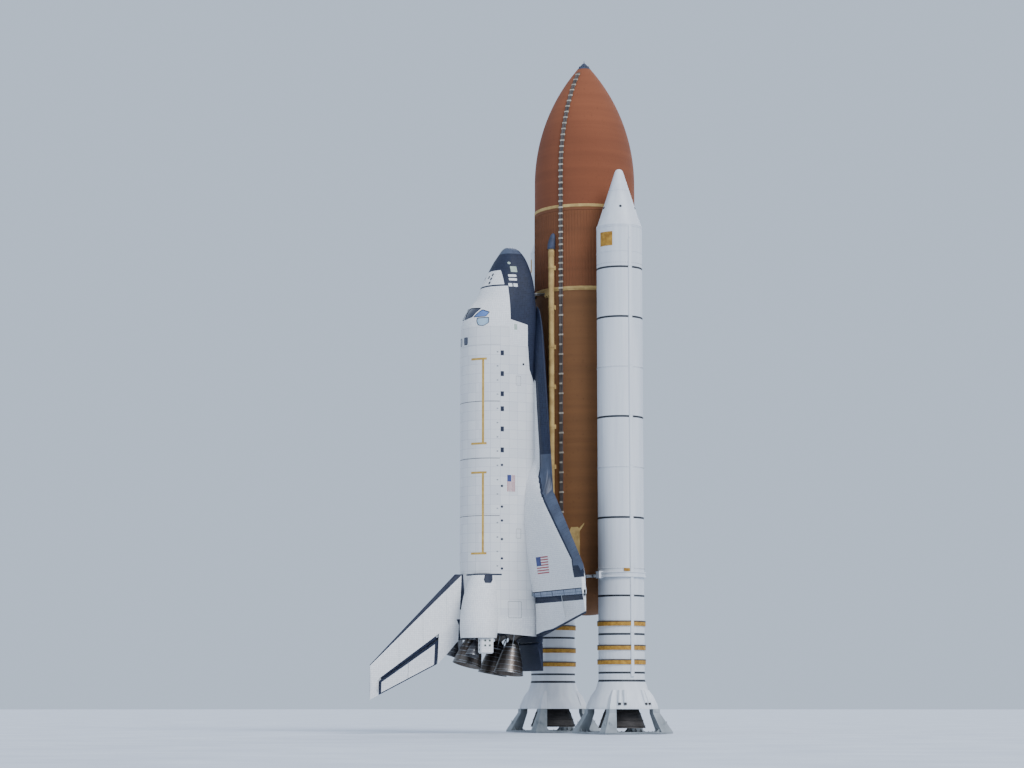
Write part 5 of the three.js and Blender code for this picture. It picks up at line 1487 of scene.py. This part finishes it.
def add_engine_pipes(engine, place):
    """A ring pipe round the bell, and three feeds down to it."""
    ring = [polar(25, a, 74) for a in np.linspace(0, 1.7 * pi, 40)]
    engine.tube(ring, 2.1, "bare_metal", 14, place)
    for a in np.radians((20, 140, 260)):
        spots = [polar(radius, a, s) for radius, s in ((31, 33), (24, 46), (22, 60), (25, 74))]
        engine.tube(rounded_path(spots, 8), 1.7, "bare_metal", 12, place)


def add_bands(piece, wall, stations, steps, place, sides=96):
    """Rings round a bell."""
    for station in stations:
        radius = float(np.interp(station, *zip(*wall)))
        piece.add(ridge(steps, station, radius, sides), "bare_metal", place)


def make_engines():
    shield = [(2, 0), (2, 6), (14, 6), (16, 37.4), (20, 38.6), (25, 36.5), (31, 31), (38, 21), (44, 15)]
    wall = bell_wall([(50, 11), (62, 19.5), (84, 28), (118, 38.2), (157, 47)], 40)
    inner = [(157, 45.4), (118, 36), (84, 26), (62, 17), (55, 0)]
    steps = [(-1.3, -1), (-0.8, 0.5), (0.8, 0.9), (1.3, -1)]
    for name, x, y, z, pitch, yaw in ENGINES:
        engine = Piece(f"{name}_bell", "nozzle_metal", ORBITER, name)
        place = aimed((x, y, z), engine_axis(pitch, yaw))
        engine.add(turned([*shield, *wall, *inner]), "bell_metal", place)
        engine.paint("quilted_blanket", lambda c, n: (c - Vector((x, y, z))).length < 43)
        add_bands(engine, wall, (66, 76, 88, 102, 117, 133, 149, 155.5), steps, place)
        add_engine_pipes(engine, place)
        half, radius = ENGINE_TRUNNION
        engine.add(rod((x, y - half, z), (x, y + half, z), radius, sides=32), "bare_metal")
        engine.done(name)


# Columns: station, centre to starboard, centre height, half width, half height
POD = [(1308, 60, 452, 36, 40), (1340, 64, 460, 45, 49), (1380, 69, 469, 52, 55), (1430, 75, 476, 58, 59),
       (1475, 80, 480, 61.5, 60), (1512, 82, 482, 60, 56)]
POD_START, POD_END = 1308, 1512
POD_PIVOT = Vector((1512, 74, 488))


def pod_point(station, angle, grow=0.0):
    y, z, a, b = smooth_rows(POD, [station])[0]
    return (station, y + (a + grow) * cos(angle), z + (b + grow) * sin(angle))


def on_pod(station, out, grow):
    """A place on the pod by station and inches of arc up from its side."""
    return pod_point(station, out / 50, grow)


def pod_row(station, shape_station=None, grow=0.0):
    shape_station = shape_station or station
    return [(station, *pod_point(shape_station, a, grow)[1:]) for a in around(96)]


def bevelled_block(low, high, offset):
    box = Piece("box", None, None).add(block(low, high), "white_tile")
    edges = list(box.bm.edges)
    bmesh.ops.bevel(box.bm, geom=edges, offset=offset, segments=3, affect="EDGES", clamp_overlap=True)
    mesh = bpy.data.meshes.new("box")
    box.bm.to_mesh(mesh)
    box.bm.free()
    return mesh


def make_pods():
    pod = Piece("manoeuvring_pod_shell_right", "white_tile", ORBITER)
    rows = [pod_row(POD_START, grow=-4), *(pod_row(s) for s in [1309.5, *np.linspace(1316, 1509, 26)])]
    rows += [pod_row(1511.4, POD_END, -0.5), pod_row(POD_END, grow=-2)]
    pod.add(grid(rows), "white_tile")
    pod.zone("black_tile", rect(1300, 380, 1313.5, 560))
    pod.paint("black_tile", lambda c, n: n.x > 0.9)
    half = Vector((0, POD_TRUNNION[0] + 0.05, 0))
    pod.cut(rod(POD_PIVOT - half, POD_PIVOT + half, POD_TRUNNION[1] + 0.1, sides=32), "recess")
    pod.cut(hull(1290, 1540, 12, SEAM), "recess")
    patch = [(1312, -15), (1312, 17), (1328, 18), (1339, 12), (1339, -9), (1328, -16)]
    pod.add(lens(soft_outline(patch, radius=2), on_pod, 0.3), "black_tile")
    pod.add(bevelled_block((1490, 107, 453), (1560, 133.5, 495.5), 3), "white_tile")
    cup = pointed_out(turned([(-1, 0), (-1, 3.6), (0.6, 3.6), (0.6, 2.9), (0.1, 2.6), (0.1, 0)], 20))
    ports = [((s, 133.4, h), (0, 1, 0)) for s in (1505, 1520, 1535) for h in (466, 482)]
    ports += [((s, 120, 495.4), (0, 0, 1)) for s in (1505, 1520, 1535, 1548)]
    ports += [((1559.8, s, 474), (1, 0, 0)) for s in (114, 126)]
    pod.repeat(cup, ports, "thruster_cover")
    pod.done_both("manoeuvring_pod")


def make_pod_engines():
    bell = Piece("pod_engine_bell_right", "nozzle_metal", ORBITER, "pod_engine_right")
    wall = bell_wall([(8, 3.5), (16, 7.5), (30, 14.6), (57, 21.5)], 26)
    inner = [(57, 20.7), (30, 13.4), (17, 6), (15, 0)]
    place = aimed(POD_PIVOT, engine_axis(15.8, 6.5))
    bell.add(turned([(2, 0), (2, 3.5), *wall, *inner], 72), "small_bell_metal", place)
    add_bands(bell, wall, (30, 42, 56), [(-0.8, -0.5), (-0.5, 0.4), (0.5, 0.5), (0.8, -0.5)], place, 72)
    half = Vector((0, POD_TRUNNION[0], 0))
    bell.add(rod(POD_PIVOT - half, POD_PIVOT + half, POD_TRUNNION[1]), "bare_metal")
    bell.done_both("pod_engine")


# Wings

# Leading edge in plan, from the body out: to starboard, and station
WING_EDGE = [(80, 440), (100, 455), (112, 480), (125, 525), (207, 1043), (454, 1290), (462, 1304),
             (466, 1322), (468.3, 1350)]
WING_HINGE, WING_ROOT, ELEVON_END = 1387, 105, 470
TRAILING_EDGE, TRAILING_SWEEP = 1525.2, 0.17733
ROOT_THICKNESS, THICKNESS_LOSS, HINGE_SPAN = 28, 17, 363.3
WING_BOTTOM, DIHEDRAL = 272, 0.0612
STRAKE_THICKNESS, STRAKE_DEPTH, LEAST_THICKNESS, NOSE_DEPTH = 24, 140, 2.4, 24
STRAKE_END, SWEEP_DATUM = 207, 836  # the main leading edge is at station 836 + y
HINGE_REACH = (70, 480)  # beyond both ends of the elevons
FIRST_SEAM, LAST_SEAM, PANEL_WIDTH = 214, 456, 11  # of the carbon edge
RIBS = ((111.5, 114.5), (311.25, 313.75), (465.3, 468.3))
WING_SPANS = [80, 88, *range(96, 121, 4), 125, 132, *range(140, 201, 10), 207, 215,
              *np.linspace(225, 445, 23), 450, 454, 458, 462, 464, 466, 467.4, 468.3]
EDGE_DEPTH = 15


def edge_station(y):
    return float(np.interp(y, *zip(*WING_EDGE)))


def trailing_station(y):
    return TRAILING_EDGE - TRAILING_SWEEP * y


def hinge_thickness(y):
    return ROOT_THICKNESS - THICKNESS_LOSS * (y - WING_ROOT) / HINGE_SPAN


def hinge_point(y):
    """The elevons' hinge line, halfway through the wing."""
    return Vector((WING_HINGE, y, bottom_height(y) + hinge_thickness(y) / 2))


def bottom_height(y):
    return WING_BOTTOM + DIHEDRAL * (y - WING_ROOT)


def section(s):
    """Thickness at a share of the chord, by the four-digit aerofoils' formula."""
    return 10 * (0.2969 * sqrt(s) - 0.126 * s - 0.3516 * s ** 2 + 0.2843 * s ** 3 - 0.1015 * s ** 4)


def wing_thickness(x, y):
    span = max(y, WING_ROOT)
    front = SWEEP_DATUM + span
    chord = trailing_station(span) - front
    s = min(1, max(0, (x - front) / chord))
    main = hinge_thickness(span) / section((WING_HINGE - front) / chord) * section(s)
    edge = edge_station(y)
    strake = 0
    if y < STRAKE_END:
        fade = min(1, (STRAKE_END + 8 - y) / 60)
        strake = STRAKE_THICKNESS * sqrt(max(0, min(1, (x - edge) / STRAKE_DEPTH))) * fade
    nose = min(1, sqrt(max(0, x - edge) / NOSE_DEPTH))
    return max(main * nose, strake, LEAST_THICKNESS * nose)


def on_wing(y, x, grow):
    return (x, y, bottom_height(y) + wing_thickness(x, y) + grow)


def wing_row(y):
    """The wing's section, which ends ahead of the elevons' round noses."""
    edge, low = edge_station(y), bottom_height(y)
    last = WING_HINGE - 0.36 * hinge_thickness(y) / 2 - 0.6
    short = min(1, (last - edge) / 120)
    stations = [edge + short * d for d in (0.25, 0.9, 2, 4, 7, 11, 16, 23, 32, 44)]
    stations += list(np.linspace(edge + short * 58, last, 34))
    under = [(x, y, low + 5 * max(0, 1 - (x - edge) / 30) ** 2) for x in stations]
    over = [(x, y, z + wing_thickness(x, y)) for x, y, z in under]
    return [(edge, y, low + 5.3), *over, *under[::-1]]


def carbon_strip(grow):
    """The strip of plan that the carbon edge covers, moved back by grow."""
    depth = EDGE_DEPTH + grow
    back = depth * sqrt(2)
    slope = (1043 - 525) / (STRAKE_END - 125)
    aside = depth * hypot(1, 1 / slope)
    kink = (SWEEP_DATUM + back + STRAKE_END - 1043 / slope - aside) / (1 - 1 / slope)
    start, end = 930 - grow, 456 + grow
    inner = STRAKE_END - (1043 - start) / slope - aside
    outline = [(start, inner), (kink, kink - SWEEP_DATUM - back), (SWEEP_DATUM + back + end, end),
               (1290, 475), (start, 300)]
    return grid([[(a, b, z) for a, b in outline] for z in (200, 400)])


def facing_up(centre, normal):
    return normal.z > 0.02


def paint_wing(wing):
    """Black below and along the edge, and the seal tiles ahead of the elevons."""
    wing.paint("black_tile", lambda c, n: n.z < -0.3 or n.z < 0.03 and c.y < 212)
    border = [(400, 60), (655, 60), (690, 110), (780, 122), (912, 142), (1000, 146), (1063, 186),
              (1277, 400), (1333, 418), (1333, 480), (400, 480)]
    edge = [(930, 151), (997, 153), (1059, 191), (1273, 405), (1296, 413), (1296, 480), (930, 480)]
    zones = [("black_tile", border), ("carbon", edge), ("seal_tile", rect(1368, 104, 1390, 462)),
             ("recess", rect(1365, 104, 1368, 462))]
    zones += [("recess", rect(1366, y - 1.8, 1390, y + 1.8)) for y in (115, 162, 248, 334, 420, 461)]
    for finish_name, outline in zones:
        wing.zone(finish_name, outline, (0, 1), facing_up)


def add_wing_ribs(wing):
    for low, high in RIBS:
        middle = (low + high) / 2
        half = hinge_thickness(middle) / 2
        z, reach = bottom_height(middle) + half, 0.72 * half
        outer, hole = (round_outline((WING_HINGE, z), radius) for radius in (reach, 2.7))
        wing.add(rim(outer, hole, across, high, low), "grey_paint")
        wing.add(block((WING_HINGE - 16, low, z - reach * 0.8),
                       (WING_HINGE - reach * 0.58, high, z + reach * 0.8)), "grey_paint")


def make_wings():
    wing = Piece("wing_skin_right", "white_tile", ORBITER)
    wing.add(grid([wing_row(y) for y in WING_SPANS]), "white_tile")
    edge = wing.copy("wing_edge_carbon_right", "carbon", ORBITER, "stack")
    paint_wing(wing)
    wing.cut(carbon_strip(SEAM), "black_tile")
    ends, radii = zip(*((hinge_point(y), hinge_thickness(y) / 2 + 0.25) for y in HINGE_REACH))
    wing.cut(rod(*ends, *radii, sides=64), "recess")
    wing.cut(hull(430, 1520, 12, SEAM), "recess")
    add_wing_ribs(wing)
    flag(wing, (164, 1258), (250, 1311), on_wing, -1)
    wing.done_both("wing")
    make_wing_edges(edge)


def make_wing_edges(edge):
    """The carbon panels along the leading edge, from a copy of the whole wing."""
    edge.finishes = ["carbon"]
    edge.cut(carbon_strip(0), "carbon", "INTERSECT")
    edge.paint("carbon", lambda c, n: True)
    for y in np.arange(FIRST_SEAM, LAST_SEAM, PANEL_WIDTH):
        a, b = SWEEP_DATUM - 10 + y, y + 10
        edge.zone("recess", [(a, b), (a + 0.35, b + 0.35), (a + 40.35, b - 39.65), (a + 40, b - 40)], (0, 1))
    edge.done_both("wing_edge")


def make_elevons():
    for node, sign in ((f"elevon_{where}_{side}", SIDES[side]) for where in ("inboard", "outboard")
                       for side in SIDES):
        elevon = Piece(f"{node}_skin", "white_tile", ORBITER, node).copy_node(node, "white_tile")
        root, tip = sign * 100, sign * ELEVON_END
        elevon.zone("black_tile", rect(1370, root, 1402, tip), (0, 1), facing_up)
        inner, outer = ((trailing_station(abs(y)) - 6, y) for y in (root, tip))
        elevon.zone("black_tile", [inner, outer, (1600, tip), (1600, root)], (0, 1))
        elevon.paint("black_tile", lambda c, n: n.z < -0.2)
        elevon.done(node)


# Fin

FIN_ROOT = 500
FIN_HINGE, FIN_HINGE_SWEEP = 1440.9, 0.69589
FIN_END, FIN_END_SWEEP = 1548.3, 0.49315
FIN_FRONT, RUDDER_FOOT, RUDDER_HEAD = 1285.8, 520, 790


def hinge_station(z):
    return FIN_HINGE + FIN_HINGE_SWEEP * (z - FIN_ROOT)


def fin_end(z):
    return FIN_END + FIN_END_SWEEP * (z - FIN_ROOT)


def fin_notch(centre, normal):
    """Whether a face is in the notch that holds the rudder."""
    inner = abs(normal.y) < 0.6 or normal.y * centre.y < 0
    return centre.x > hinge_station(centre.z) - 25 and RUDDER_FOOT < centre.z < RUDDER_HEAD and inner


def make_fin():
    fin = Piece("vertical_fin_skin", "white_tile", ORBITER).copy_node("vertical_fin", "white_tile")
    # The leading edge; and the rudder's notch and the root on both sides of the hinge, painted black as
    # shade in the notch and in the gap beside the pods
    fin.zone("black_tile", [(1240, 470), (1276, 470), (1598, 815.7), (1560, 816)])
    fin.paint("black_tile", fin_notch)
    fin.zone("black_tile", [(1260, 470), (1290, 506), (1420, 516), (1424, 470)])
    fin.zone("black_tile", [(1448, 470), (1451, 528), (1470, 519), (1560, 519), (1560, 470)])
    for z in (560, 640, 720):
        start, end = FIN_FRONT + z - FIN_ROOT, hinge_station(z) - 8
        fin.zone("recess", [(start, z), (start, z + 0.4), (end, z + 0.4), (end, z)])
    fin.done("vertical_fin")


def make_rudder():
    copy_of("rudder_shaft_drum", "rudder_shaft", "black_tile", ORBITER, "rudder", "black_tile")
    low, middle, high = 600, 688, 778
    field = [(hinge_station(low) + 20, low), (hinge_station(high) + 15, high), (fin_end(high) - 4, high),
             (fin_end(low) - 4, low)]
    start, end = hinge_station(middle) + 17, fin_end(middle) - 4
    for side in SIDES:
        node = f"rudder_panel_{side}"
        panel = Piece(f"rudder_panel_skin_{side}", "white_tile", ORBITER, f"speedbrake_{side}")
        panel.copy_node(node, "black_tile")
        panel.zone("white_tile", field)
        panel.zone("recess", [(start, middle), (start, middle + 1), (end, middle + 1), (end, middle)])
        panel.done(node)


make_tank_cap()
make_oxygen_tank()
make_intertank()
make_hydrogen_tank()
make_feedline()
make_cable_tray()
make_bipod()
make_aft_mount()
for booster_side in SIDES:
    make_booster_nose(booster_side)
    make_booster_frustum(booster_side)
    make_booster_front_skirt(booster_side)
    make_booster_motor(booster_side)
    make_booster_tunnel(booster_side)
    make_booster_ring(booster_side)
    make_booster_rear_skirt(booster_side)
    make_booster_nozzle(booster_side)
    make_support_posts(booster_side)
make_nose()
make_forward_fuselage()
make_windshield()
make_hatch()
make_middle_fuselage()
make_doors()
make_aft_fuselage()
copy_of("body_flap_tiles", "body_flap", "black_tile", ORBITER, "body_flap", "black_tile")
make_engines()
make_pods()
make_pod_engines()
make_wings()
make_elevons()
make_fin()
make_rudder()

make_camera()
make_floor()
make_lights()
